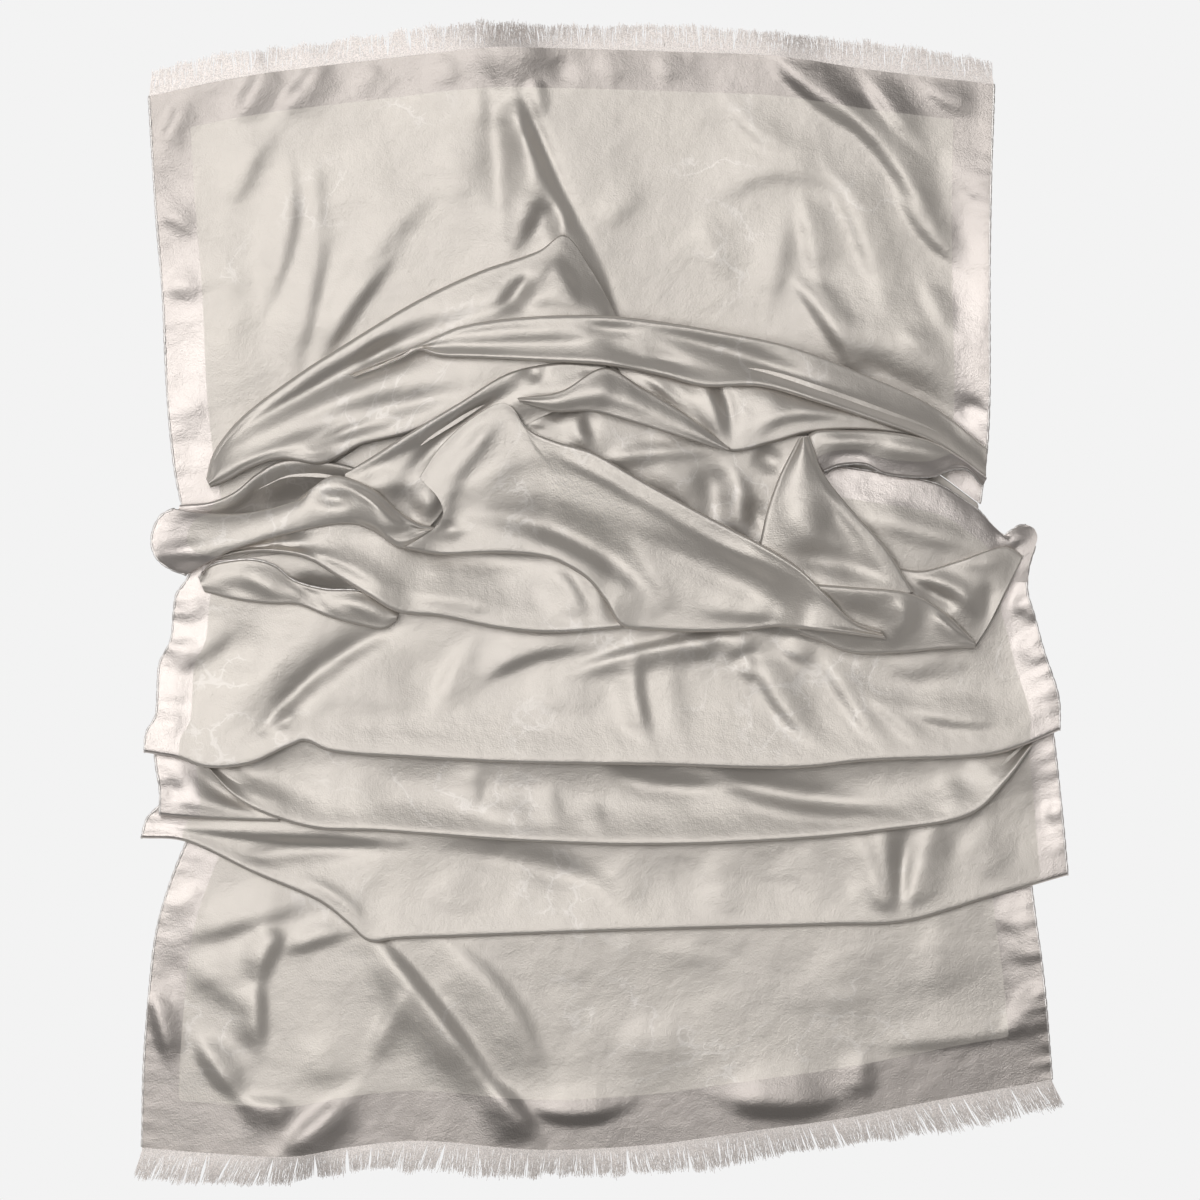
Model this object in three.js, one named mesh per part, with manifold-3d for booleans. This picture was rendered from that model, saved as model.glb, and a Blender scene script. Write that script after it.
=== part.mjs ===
// Evening stole of silk satin, laid down and gathered: two flat end panels with fringes,
// three pleats laid like shingles, and a heap of rolled folds across the middle.
// Millimetres, +Z up. The origin is on the surface it lies on, under the middle of its outline.
// +X runs along the stole's width and +Y towards its far end.

import * as THREE from 'three';
import { mergeVertices } from 'three/addons/utils/BufferGeometryUtils.js';
import Module from 'manifold-3d';

const wasm = await Module();
wasm.setup();

// Driving sizes.
const STOLE_WIDTH = 700;
const WALL = 1.5;
const HEM_THICKNESS = 3;
const HEM_WIDTH = 5;
const SEAM = 0.3;
const CLEARANCE = 0.45;
const RETURN_LENGTH = 11;
const HIDDEN_LAYER = 3;
const HIDDEN_SIDE_POINTS = 7;
const HIDDEN_MARGIN = 3;
const FOLD_SHARE = { single: 0.4, double: 0.3, returned: 0.3 };
const SHOULDER_DROP = 0.4;
const INWARD_STEP = 0.15;
const FRINGE = {
  strands: 46, length: 17, lengthSpread: 0.07, lean: 0.08,
  backing: 2.4, thickness: 1.3, tipRise: 0.35, fill: 0.62,
};

// The plan is drawn in units of which 933 make the stole's width, x to the right, y to the near end.
const WIDTH_IN_UNITS = 933;
const UNIT = STOLE_WIDTH / WIDTH_IN_UNITS;
const PLAN_CENTRE = { x: 598.1, y: 602 };

// Cloth colours.
const SATIN = 0xbab4ad;
const THREAD = 0xded8d3;

const firstOf = (list) => list[0];
const lastOf = (list) => list[list.length - 1];

function table(columns, rows) {
  return rows.map((row) => Object.fromEntries(columns.map((name, i) => [name, row[i]])));
}

// An edge that is folded or hidden, with the height that the cloth's top aims for there.
const edge = (rows) => table(['x', 'y', 'top'], rows);
// A side, from the far end to the near end.
const side = (rows) => table(['x', 'y'], rows);
// Soft ridges (height above 0) and troughs (below 0): each a curve from start through a bend to an end.
const folds = (rows) => table(['x0', 'y0', 'xm', 'ym', 'x1', 'y1', 'width', 'height'], rows);

// Where the far panel goes under the heap, and the near panel under the third pleat.
const UNDER_HEAP = edge([
  [184, 500, 2], [240, 458, 2], [310, 408, 2], [400, 354, 2], [480, 316, 3], [556, 300, 6],
  [640, 346, 3], [740, 378, 2], [840, 418, 3], [920, 452, 3], [980, 484, 3],
]);
const UNDER_PLEATS = edge([
  [192, 830, 2], [260, 850, 2], [330, 884, 2], [380, 908, 2], [520, 908, 2],
  [700, 902, 2], [880, 898, 2], [960, 880, 2], [1028, 862, 2],
]);

const FAR_ROOT = edge([
  [149, 96, 2], [240, 77, 2], [381, 59, 2], [486, 48, 5], [539, 48, 5],
  [690, 52, 2], [778, 56, 3], [866, 69, 2], [994, 84, 2],
]);
const NEAR_ROOT = edge([
  [142, 1148, 2], [205, 1153, 2], [290, 1157, 3], [346, 1148, 2], [416, 1141, 2], [538, 1150, 3],
  [650, 1145, 2], [753, 1131, 3], [848, 1118, 2], [940, 1100, 2], [1052, 1080, 2],
]);

// Each stretch of the cloth that shows, from the lowest to the topmost.
const STRETCHES = [
  {
    name: 'far_panel', columns: 18, rows: 11, crown: 0, farFold: 0, nearFold: 0,
    far: FAR_ROOT, near: UNDER_HEAP,
    left: side([[149, 96], [156, 210], [163, 298], [168, 403], [176, 476], [184, 500]]),
    right: side([[994, 84], [990, 210], [989, 316], [989, 403], [986, 456], [980, 484]]),
    hems: true,
    folds: folds([
      [514, 50, 528, 170, 508, 250, 20, 13],
      [548, 150, 575, 225, 612, 306, 24, -6],
      [262, 60, 235, 110, 190, 170, 16, 4],
      [770, 56, 900, 150, 945, 245, 22, 7],
      [850, 66, 915, 110, 965, 215, 18, 6],
      [330, 230, 330, 300, 300, 372, 18, 6],
      [700, 190, 790, 150, 880, 290, 26, 5],
      [785, 240, 800, 260, 870, 350, 24, 4],
      [860, 360, 930, 380, 985, 420, 22, 6],
      [160, 190, 180, 215, 200, 225, 12, 3],
    ]),
  },
  {
    name: 'near_panel', columns: 17, rows: 8, crown: 0, farFold: 0, nearFold: 0,
    far: UNDER_PLEATS, near: NEAR_ROOT,
    left: side([[192, 830], [174, 873], [158, 925], [149, 996], [144, 1066], [142, 1148]]),
    right: side([[1028, 862], [1036, 925], [1041, 960], [1048, 1031], [1052, 1080]]),
    hems: true,
    folds: folds([
      [415, 945, 470, 1020, 540, 1118, 20, 9],
      [290, 930, 262, 985, 262, 1050, 16, 7],
      [200, 1035, 235, 1090, 300, 1108, 16, 6],
      [540, 1110, 640, 1070, 770, 1092, 20, 4],
      [800, 1100, 850, 1060, 900, 1050, 16, 4],
      [160, 985, 175, 1020, 180, 1060, 10, 4],
    ]),
  },
  {
    name: 'pleat_3', columns: 18, rows: 3, crown: 0, farFold: 0, nearFold: 3.4,
    far: edge([
      [166, 800, 8], [260, 806, 8], [381, 812, 8], [521, 822, 8], [650, 826, 8],
      [760, 822, 8], [866, 813, 8], [950, 796, 8], [1010, 758, 8], [1052, 742, 8],
    ]),
    near: edge([
      [142, 838, 9], [184, 841, 9], [254, 873, 9], [324, 905, 10], [370, 940, 11], [451, 937, 10],
      [650, 930, 10], [831, 925, 10], [905, 922, 10], [988, 898, 9], [1067, 875, 9],
    ]),
    left: side([[166, 800], [154, 812], [142, 838]]),
    right: side([[1052, 742], [1060, 790], [1067, 875]]),
    hems: true,
    folds: folds([
      [150, 826, 280, 845, 400, 845, 12, 3],
      [893, 828, 890, 870, 898, 920, 12, 4],
      [400, 905, 560, 915, 800, 900, 26, 2],
      [420, 860, 540, 862, 610, 900, 20, -2.5],
    ]),
  },
  {
    name: 'left_tuck', columns: 7, rows: 3, crown: 0.5, farFold: 0, nearFold: 2.4,
    far: edge([[158, 760, 14], [200, 762, 14], [240, 786, 13], [276, 806, 12]]),
    near: edge([[161, 815, 15], [202, 818, 15], [242, 820, 15], [274, 821, 14]]),
    hems: false,
    folds: folds([[160, 800, 220, 800, 290, 818, 9, 1.5]]),
  },
  {
    name: 'pleat_2', columns: 18, rows: 3, crown: 0, farFold: 0, nearFold: 3.2,
    far: edge([
      [196, 744, 14], [258, 742, 14], [305, 722, 14], [416, 738, 14], [521, 744, 14],
      [650, 746, 14], [795, 748, 14], [936, 734, 14], [1028, 724, 14],
    ]),
    near: edge([
      [207, 766, 17], [240, 800, 17], [310, 827, 18], [381, 831, 18], [521, 841, 18], [650, 845, 18],
      [800, 839, 18], [880, 831, 18], [971, 814, 18], [1005, 782, 17], [1030, 748, 17],
    ]),
    hems: false,
    folds: folds([
      [300, 812, 500, 818, 900, 812, 20, 2],
      [700, 775, 780, 800, 880, 806, 16, -2],
      [470, 765, 460, 800, 480, 812, 14, -1.5],
      [1010, 760, 990, 800, 960, 818, 12, 2],
    ]),
  },
  {
    name: 'pleat_1', columns: 18, rows: 5, crown: 0, farFold: 0, nearFold: 3.8,
    far: edge([
      [196, 577, 17], [300, 586, 17], [398, 596, 17], [520, 604, 17], [650, 604, 17],
      [800, 606, 17], [900, 612, 17], [970, 600, 17], [1028, 574, 17],
    ]),
    near: edge([
      [146, 752, 23], [207, 767, 24], [250, 764, 24], [305, 742, 23], [340, 752, 24], [416, 758, 24],
      [521, 763, 24], [650, 765, 24], [795, 768, 24], [866, 761, 24], [988, 752, 24], [1058, 730, 23],
    ]),
    left: side([[196, 577], [178, 600], [172, 640], [161, 665], [158, 715], [146, 752]]),
    right: side([[1028, 574], [1028, 600], [1042, 650], [1057, 698], [1058, 730]]),
    hems: true,
    folds: folds([
      [380, 628, 300, 665, 235, 735, 20, 5],
      [425, 640, 340, 670, 262, 728, 14, -4],
      [648, 655, 640, 700, 652, 742, 12, 2.5],
      [760, 660, 775, 700, 825, 745, 18, 3],
      [280, 722, 400, 735, 640, 745, 18, 2],
      [990, 650, 995, 680, 985, 740, 22, -2],
      [205, 640, 190, 650, 165, 668, 12, 3],
    ]),
  },
  {
    name: 'right_wing', columns: 8, rows: 4, crown: 2, farFold: 2.6, nearFold: 0,
    far: edge([
      [850, 476, 24], [900, 480, 24], [945, 488, 23], [978, 511, 22], [996, 535, 20],
      [1012, 534, 19], [1036, 530, 18],
    ]),
    near: edge([[860, 575, 25], [900, 590, 25], [950, 584, 24], [990, 568, 22], [1034, 560, 20]]),
    hems: false,
    folds: folds([[850, 520, 920, 520, 985, 550, 22, 2]]),
  },
  {
    name: 'left_ledge', columns: 7, rows: 3, crown: 0, farFold: 2.4, nearFold: 0,
    far: edge([
      [181, 505, 15], [212, 502, 16], [236, 492, 18], [258, 474, 18], [284, 461, 18], [338, 464, 16],
    ]),
    near: edge([[176, 520, 15], [215, 520, 15], [250, 516, 15], [290, 512, 15], [350, 500, 15]]),
    hems: false,
    folds: [],
  },
  {
    name: 'far_roll', columns: 14, rows: 5, crown: 5, farFold: 5, nearFold: 3.6,
    far: edge([
      [207, 477, 16], [218, 446, 17], [250, 412, 18], [300, 374, 18], [360, 336, 18], [420, 301, 18],
      [480, 273, 18], [540, 252, 18], [566, 238, 18], [590, 264, 18], [616, 312, 20],
    ]),
    near: edge([
      [214, 491, 20], [250, 471, 23], [284, 460, 24], [330, 462, 25], [362, 458, 25], [410, 436, 25],
      [460, 410, 26], [520, 378, 26], [570, 368, 26], [616, 352, 25],
    ]),
    hems: false,
    folds: folds([
      [240, 440, 330, 378, 520, 300, 14, -6],
      [250, 452, 340, 410, 500, 388, 12, -4],
      [255, 432, 330, 395, 440, 378, 14, 3],
    ]),
  },
  {
    name: 'inner_fold', columns: 9, rows: 4, crown: 1, farFold: 0, nearFold: 0,
    far: edge([
      [552, 404, 27], [610, 402, 28], [680, 418, 29], [730, 440, 29], [775, 438, 28], [812, 436, 28],
    ]),
    near: edge([
      [560, 456, 27], [612, 482, 27], [668, 514, 26], [716, 540, 26], [765, 562, 26], [800, 580, 26],
    ]),
    hems: false,
    folds: folds([
      [576, 420, 576, 438, 590, 452, 9, 2],
      [705, 465, 722, 490, 706, 530, 14, -5],
      [612, 462, 624, 452, 700, 456, 9, 2.5],
    ]),
  },
  {
    name: 'mid_panel', columns: 10, rows: 3, crown: 2, farFold: 0, nearFold: 2.4,
    far: edge([
      [606, 350, 26], [680, 356, 27], [740, 370, 26], [820, 388, 24], [900, 416, 18], [968, 452, 10],
    ]),
    near: edge([
      [632, 392, 30], [690, 426, 32], [728, 452, 33], [770, 444, 33], [812, 433, 32], [880, 432, 28],
      [930, 443, 21], [982, 477, 11],
    ]),
    hems: false,
    folds: folds([
      [708, 372, 724, 400, 728, 446, 10, -4],
      [762, 432, 775, 406, 850, 420, 12, 2],
    ]),
  },
  {
    name: 'knot', columns: 9, rows: 3, crown: 2, farFold: 2.5, nearFold: 0,
    far: edge([
      [346, 474, 29], [372, 458, 31], [410, 434, 33], [460, 404, 34], [510, 374, 35], [560, 364, 34],
      [606, 366, 33],
    ]),
    near: edge([
      [352, 506, 26], [392, 500, 26], [424, 480, 27], [456, 442, 28], [505, 414, 29], [560, 400, 29],
      [606, 392, 30],
    ]),
    hems: false,
    folds: folds([[400, 480, 450, 430, 540, 388, 14, -4], [536, 396, 580, 394, 600, 372, 9, 2]]),
  },
  {
    name: 'tongue', columns: 8, rows: 3, crown: 1.5, farFold: 2.2, nearFold: 2.2,
    far: edge([
      [520, 398, 35], [560, 394, 37], [605, 372, 38], [640, 388, 39], [682, 414, 38], [724, 442, 36],
    ]),
    near: edge([
      [524, 408, 35], [555, 413, 38], [592, 413, 40], [634, 424, 40], [676, 438, 39], [716, 454, 37],
    ]),
    hems: false,
    folds: [],
  },
  {
    name: 'middle_roll', columns: 15, rows: 3, crown: 4, farFold: 3.6, nearFold: 3.4,
    far: edge([
      [334, 372, 24], [400, 353, 28], [460, 328, 33], [520, 319, 36], [600, 317, 37], [660, 323, 36],
      [720, 333, 34], [790, 348, 31], [860, 374, 26], [930, 406, 19], [986, 448, 10],
    ]),
    near: edge([
      [340, 386, 26], [404, 364, 31], [450, 360, 36], [520, 361, 39], [607, 367, 40], [660, 377, 40],
      [704, 388, 39], [760, 388, 36], [820, 405, 32], [880, 425, 27], [935, 446, 20], [985, 480, 11],
    ]),
    hems: false,
    folds: folds([
      [640, 328, 720, 360, 820, 396, 12, -3],
      [588, 330, 640, 356, 700, 374, 10, -2.5],
    ]),
  },
  {
    name: 'right_flap', columns: 9, rows: 2, crown: 1, farFold: 2.6, nearFold: 2.2,
    far: edge([
      [810, 434, 36], [850, 431, 34], [890, 433, 31], [930, 442, 25], [958, 457, 19], [986, 478, 12],
    ]),
    near: edge([
      [820, 471, 34], [862, 467, 33], [900, 473, 31], [940, 478, 26], [962, 474, 21], [984, 489, 14],
    ]),
    hems: false,
    folds: folds([[890, 450, 920, 450, 960, 468, 14, 2]]),
  },
  {
    name: 'right_tail', columns: 8, rows: 5, crown: 3, farFold: 3, nearFold: 0,
    far: edge([[886, 566, 30], [920, 571, 29], [960, 560, 28], [1005, 547, 26], [1021, 556, 24]]),
    near: edge([[900, 612, 29], [922, 624, 28], [946, 636, 27], [962, 645, 26], [972, 648, 25]]),
    right: side([[1021, 556], [1003, 592], [986, 626], [972, 648]]),
    hems: false,
    folds: folds([[905, 573, 960, 590, 978, 616, 12, 2.5], [912, 582, 940, 596, 965, 600, 12, -3]]),
  },
  {
    name: 'cone', columns: 8, rows: 4, crown: 4, farFold: 3.6, nearFold: 3.2,
    far: edge([[808, 437, 38], [822, 474, 41], [848, 508, 42], [884, 548, 40], [912, 592, 36]]),
    near: edge([[797, 440, 38], [776, 482, 40], [762, 528, 40], [760, 560, 38], [800, 606, 34]]),
    hems: false,
    folds: folds([[806, 500, 830, 520, 860, 540, 22, -3], [786, 556, 830, 556, 880, 578, 16, -4]]),
  },
  {
    name: 'left_flap', columns: 9, rows: 3, crown: 1.5, farFold: 2.4, nearFold: 2.6,
    far: edge([
      [200, 576, 22], [228, 563, 25], [262, 561, 27], [290, 576, 27], [325, 588, 27], [362, 591, 27],
      [396, 606, 26],
    ]),
    near: edge([
      [206, 592, 22], [238, 600, 25], [270, 604, 27], [300, 606, 27], [330, 617, 27], [364, 625, 27],
      [398, 627, 26],
    ]),
    hems: false,
    folds: [],
  },
  {
    name: 'lower_lobe', columns: 11, rows: 4, crown: 4, farFold: 0, nearFold: 4,
    far: edge([
      [206, 556, 26], [260, 542, 27], [320, 526, 28], [380, 518, 28], [450, 530, 28],
      [530, 540, 28], [590, 562, 28], [620, 590, 28],
    ]),
    near: edge([
      [204, 576, 26], [240, 556, 29], [290, 558, 31], [340, 578, 32], [398, 612, 31], [440, 618, 30],
      [500, 629, 30], [545, 633, 30], [590, 631, 30], [622, 628, 30],
    ]),
    hems: false,
    folds: folds([[556, 572, 580, 600, 584, 622, 14, -3], [360, 536, 480, 560, 560, 562, 20, -3]]),
  },
  {
    name: 'left_roll', columns: 11, rows: 3, crown: 5, farFold: 4, nearFold: 4.4,
    far: edge([
      [172, 511, 20], [215, 514, 24], [262, 510, 28], [300, 500, 32], [340, 484, 34],
      [378, 490, 35], [406, 513, 35], [438, 524, 33],
    ]),
    near: edge([
      [176, 571, 20], [210, 556, 24], [262, 542, 29], [320, 528, 34], [360, 525, 36],
      [384, 541, 36], [406, 549, 35], [438, 540, 33],
    ]),
    left: side([[172, 511], [157, 530], [157, 554], [176, 571]]),
    hems: false,
    folds: folds([[175, 545, 240, 530, 310, 512, 14, 2], [330, 480, 328, 488, 326, 498, 12, 3]]),
  },
  {
    name: 'lower_right_roll', columns: 9, rows: 4, crown: 3, farFold: 3, nearFold: 3.4,
    far: edge([[808, 584, 33], [850, 587, 36], [910, 594, 36], [940, 610, 34], [972, 640, 29]]),
    near: edge([
      [798, 634, 30], [820, 642, 32], [850, 653, 33], [900, 653, 33], [940, 649, 31], [974, 648, 28],
    ]),
    hems: false,
    folds: folds([[840, 600, 856, 614, 890, 622, 12, -3], [890, 596, 914, 612, 890, 642, 10, 3]]),
  },
  {
    name: 'billow', columns: 16, rows: 6, crown: 2.5, farFold: 3.4, nearFold: 4.2,
    far: edge([
      [412, 486, 36], [440, 447, 39], [472, 419, 40], [503, 406, 40], [526, 424, 40], [556, 443, 41],
      [600, 458, 42], [650, 486, 42], [700, 513, 42], [755, 542, 42], [798, 569, 41], [836, 606, 38],
      [874, 630, 34],
    ]),
    near: edge([
      [404, 549, 36], [440, 555, 38], [500, 554, 38], [545, 558, 38], [585, 580, 37], [614, 618, 34],
      [650, 630, 32], [700, 632, 32], [750, 631, 32], [800, 630, 33], [850, 634, 33], [884, 640, 33],
    ]),
    left: side([[412, 486], [442, 502], [440, 524], [404, 549]]),
    hems: false,
    folds: folds([
      [470, 528, 570, 528, 670, 614, 20, -5],
      [470, 470, 520, 440, 560, 460, 26, 3],
      [640, 540, 720, 590, 800, 612, 26, -3],
      [620, 480, 720, 540, 800, 590, 18, 3],
    ]),
  },
];

// The layers folded away inside, from the lowest: the near side of each, and how far its sides are in.
const HIDDEN_STEPS = table(['name', 'nearShift', 'sideInset', 'farInset'], [
  ['lowest', 0, 0, 0],
  ['middle', 92, 18, 26],
  ['upper', 176, 40, 60],
]);
const HIDDEN_LEFT = side([[214, 506], [192, 560], [190, 640], [182, 720], [180, 790], [192, 828]]);
const HIDDEN_RIGHT = side([[968, 486], [985, 560], [1008, 640], [1030, 720], [1036, 790], [1030, 860]]);

const toPlan = (point) => new THREE.Vector2(
  (point.x - PLAN_CENTRE.x) * UNIT,
  (PLAN_CENTRE.y - point.y) * UNIT,
);

class EdgeLine {
  // A smooth line through a table's points; top is the aimed height, on the same line.
  constructor(rows) {
    this.curve = new THREE.CatmullRomCurve3(
      rows.map((row) => new THREE.Vector3(...toPlan(row).toArray(), row.top ?? 0)),
      false,
      'centripetal',
    );
  }

  at(t) {
    const point = this.curve.getPointAt(THREE.MathUtils.clamp(t, 0, 1));
    return { plan: new THREE.Vector2(point.x, point.y), top: point.z };
  }
}

class SeamLine {
  // The straight runs between the points at the end of a finished stretch, by length.
  constructor(points) {
    this.path = new THREE.CurvePath();
    points.slice(1).forEach((point, k) => {
      const start = new THREE.Vector2(points[k].x, points[k].y);
      this.path.add(new THREE.LineCurve(start, new THREE.Vector2(point.x, point.y)));
    });
  }

  at(t) {
    return this.path.getPoint(THREE.MathUtils.clamp(t, 0, 1));
  }
}

function straightSide(start, end) {
  return {
    at: (t) => ({ plan: start.clone().lerp(end, t), top: 0 }),
  };
}

class Patch {
  // The plan between four edges: a Coons patch.
  constructor(stretch) {
    this.far = new EdgeLine(stretch.far);
    this.near = new EdgeLine(stretch.near);
    this.left = stretch.left
      ? new EdgeLine(stretch.left)
      : straightSide(this.far.at(0).plan, this.near.at(0).plan);
    this.right = stretch.right
      ? new EdgeLine(stretch.right)
      : straightSide(this.far.at(1).plan, this.near.at(1).plan);
  }

  plan(u, v) {
    const ruled = this.far.at(u).plan.lerp(this.near.at(u).plan, v);
    const sides = this.left.at(v).plan.lerp(this.right.at(v).plan, u);
    const corners = this.far.at(0).plan.lerp(this.far.at(1).plan, u)
      .lerp(this.near.at(0).plan.lerp(this.near.at(1).plan, u), v);
    return ruled.add(sides).sub(corners);
  }
}

class Support {
  // The height of what has been laid so far, on square cells.
  constructor() {
    this.cell = 3;
    this.columns = 260;
    this.rows = 310;
    this.reach = { across: 5, along: 4, meanAcross: 3, meanAlong: 2 };
    this.heights = new Float32Array(this.columns * this.rows).fill(-CLEARANCE);
    this.spreadHeights = this.heights;
  }

  column(x) {
    return x / this.cell + this.columns / 2;
  }

  row(y) {
    return y / this.cell + this.rows / 2;
  }

  raise(x, y, z) {
    const index = Math.round(this.row(y)) * this.columns + Math.round(this.column(x));
    this.heights[index] = Math.max(this.heights[index], z);
  }

  // Lays a grid of points down, with steps between them closer than a cell.
  lay(grid) {
    for (let i = 0; i + 1 < grid.length; i += 1) {
      for (let j = 0; j + 1 < grid[i].length; j += 1) {
        const corners = [grid[i][j], grid[i + 1][j], grid[i][j + 1], grid[i + 1][j + 1]];
        const across = corners[0].distanceTo(corners[1]) + corners[2].distanceTo(corners[3]);
        const along = corners[0].distanceTo(corners[2]) + corners[1].distanceTo(corners[3]);
        const acrossSteps = Math.ceil(across / this.cell) + 1;
        const alongSteps = Math.ceil(along / this.cell) + 1;
        for (let a = 0; a <= acrossSteps; a += 1) {
          for (let b = 0; b <= alongSteps; b += 1) {
            const start = corners[0].clone().lerp(corners[1], a / acrossSteps);
            const end = corners[2].clone().lerp(corners[3], a / acrossSteps);
            const point = start.lerp(end, b / alongSteps);
            this.raise(point.x, point.y, point.z);
          }
        }
      }
    }
    this.spread();
  }

  // Lays a flat layer down inside an outline.
  layFlat(outline, top) {
    for (let r = 0; r < this.rows; r += 1) {
      for (let c = 0; c < this.columns; c += 1) {
        const x = (c - this.columns / 2) * this.cell;
        const y = (r - this.rows / 2) * this.cell;
        if (isInside(outline, x, y)) {
          this.raise(x, y, top);
        }
      }
    }
    this.spread();
  }

  // The highest height within reach, then a mean over less than that reach, so the result is
  // smooth and nowhere below what lies there.
  spread() {
    const highest = (values) => Math.max(...values);
    const mean = (values) => values.reduce((sum, value) => sum + value, 0) / values.length;
    let field = this.filtered(this.heights, this.reach.across, 1, highest);
    field = this.filtered(field, this.reach.along, this.columns, highest);
    field = this.filtered(field, this.reach.meanAcross, 1, mean);
    this.spreadHeights = this.filtered(field, this.reach.meanAlong, this.columns, mean);
  }

  filtered(source, reach, stride, combine) {
    const result = source.slice();
    const margin = reach * stride;
    for (let index = margin; index < source.length - margin; index += 1) {
      const values = [];
      for (let step = -reach; step <= reach; step += 1) {
        values.push(source[index + step * stride]);
      }
      result[index] = combine(values);
    }
    return result;
  }

  under(plan) {
    const column = this.column(plan.x);
    const row = this.row(plan.y);
    const c = Math.floor(column);
    const r = Math.floor(row);
    const at = (dc, dr) => this.spreadHeights[(r + dr) * this.columns + c + dc];
    const near = THREE.MathUtils.lerp(at(0, 0), at(1, 0), column - c);
    const far = THREE.MathUtils.lerp(at(0, 1), at(1, 1), column - c);
    return THREE.MathUtils.lerp(near, far, row - r);
  }
}

// The height of one fold at a place: full on its curve, fading across its width and at its ends.
function foldLift(fold, plan) {
  const steps = 12;
  const endHeight = 0.35;
  const endSlope = 4;
  const start = toPlan({ x: fold.x0, y: fold.y0 });
  const bend = toPlan({ x: fold.xm, y: fold.ym });
  const end = toPlan({ x: fold.x1, y: fold.y1 });
  const curve = new THREE.QuadraticBezierCurve(start, bend, end);
  let nearest = Infinity;
  let nearestT = 0;
  for (let k = 0; k <= steps; k += 1) {
    const distance = curve.getPoint(k / steps).distanceTo(plan);
    if (distance < nearest) {
      nearest = distance;
      nearestT = k / steps;
    }
  }
  const ends = Math.min(1, endHeight + endSlope * Math.min(nearestT, 1 - nearestT));
  return fold.height * ends * Math.exp(-((nearest / (fold.width * UNIT)) ** 2));
}

function columnStations(stretch, widthAcross) {
  const stations = [];
  for (let i = 0; i <= stretch.columns; i += 1) {
    stations.push(i / stretch.columns);
  }
  if (!stretch.hems) {
    return stations;
  }
  const hem = HEM_WIDTH / widthAcross;
  return [0, hem, ...stations.slice(1, -1), 1 - hem, 1];
}

// Places along a rounded fold, from its shoulder on top to its underside.
const FOLD_ANGLES = [60, 120, 180].map((degrees) => THREE.MathUtils.degToRad(degrees));

class FoldedEdge {
  // The rounded fold that ends one column of a stretch, and the short layer that returns under it.
  constructor(rim, inward, width, radius, largestShare, support) {
    this.rim = rim.plan;
    this.inward = inward;
    this.radius = radius ? Math.min(radius, largestShare * width) : 0;
    this.returned = radius ? Math.min(RETURN_LENGTH, FOLD_SHARE.returned * width) : 0;
    const reaches = [0, this.radius, this.radius + this.returned];
    const floor = Math.max(...reaches.map((reach) => support.under(this.place(reach))));
    const height = radius ? 2 * this.radius : WALL;
    this.top = Math.max(rim.top, floor + CLEARANCE + height);
  }

  place(distance) {
    return this.rim.clone().addScaledVector(this.inward, distance);
  }

  // Points from just past the shoulder to the end of the returned layer.
  points() {
    if (!this.radius) {
      return [];
    }
    const rounded = FOLD_ANGLES.map((angle) => {
      const plan = this.place(this.radius * (1 - Math.sin(angle)));
      return new THREE.Vector3(plan.x, plan.y, this.top - this.radius * (1 - Math.cos(angle)));
    });
    const end = this.place(this.radius + this.returned);
    return [...rounded, new THREE.Vector3(end.x, end.y, this.top - 2 * this.radius)];
  }
}

// The upper surface of a stretch, as columns of points from its far end to its near end.
function surfaceOf(stretch, support) {
  const patch = new Patch(stretch);
  const widthAcross = patch.far.at(0).plan.distanceTo(patch.far.at(1).plan);
  const stations = columnStations(stretch, widthAcross);
  const bothFolded = stretch.farFold > 0 && stretch.nearFold > 0;
  const share = bothFolded ? FOLD_SHARE.double : FOLD_SHARE.single;
  return stations.map((u) => {
    const far = patch.far.at(u);
    const near = patch.near.at(u);
    const middle = patch.plan(u, 0.5);
    const width = far.plan.distanceTo(middle) + middle.distanceTo(near.plan);
    const farInward = patch.plan(u, INWARD_STEP).sub(far.plan).normalize();
    const nearInward = patch.plan(u, 1 - INWARD_STEP).sub(near.plan).normalize();
    const farEdge = new FoldedEdge(far, farInward, width, stretch.farFold, share, support);
    const nearEdge = new FoldedEdge(near, nearInward, width, stretch.nearFold, share, support);
    const vStart = farEdge.radius / width;
    const vEnd = 1 - nearEdge.radius / width;
    const isHem = stretch.hems && (u === 0 || u === 1);
    const thickness = isHem ? HEM_THICKNESS : WALL;
    const interior = [];
    for (let j = 0; j <= stretch.rows; j += 1) {
      const v = THREE.MathUtils.lerp(vStart, vEnd, j / stretch.rows);
      const plan = patch.plan(u, v);
      const along = j / stretch.rows;
      let z = THREE.MathUtils.lerp(farEdge.top, nearEdge.top, along);
      z += stretch.crown * Math.sin(Math.PI * along);
      const inside = Math.min(1, 4 * along, 4 * (1 - along));
      for (const fold of stretch.folds) {
        z += foldLift(fold, plan) * (bothFolded || stretch.nearFold ? inside : 1);
      }
      z = Math.max(z, support.under(plan) + CLEARANCE + thickness);
      const toNearRim = plan.distanceTo(near.plan);
      if (nearEdge.radius && toNearRim < nearEdge.radius + nearEdge.returned + WALL) {
        z = Math.max(z, nearEdge.top - SHOULDER_DROP);
      }
      const toFarRim = plan.distanceTo(far.plan);
      if (farEdge.radius && toFarRim < farEdge.radius + farEdge.returned + WALL) {
        z = Math.max(z, farEdge.top - SHOULDER_DROP);
      }
      interior.push(new THREE.Vector3(plan.x, plan.y, z));
    }
    return [...farEdge.points().reverse(), ...interior, ...nearEdge.points()];
  });
}

function gridNormal(grid, i, j) {
  const before = grid[Math.max(i - 1, 0)][j];
  const after = grid[Math.min(i + 1, grid.length - 1)][j];
  const above = grid[i][Math.max(j - 1, 0)];
  const below = grid[i][Math.min(j + 1, grid[i].length - 1)];
  const across = after.clone().sub(before);
  const along = below.clone().sub(above);
  return along.cross(across).normalize();
}

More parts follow.
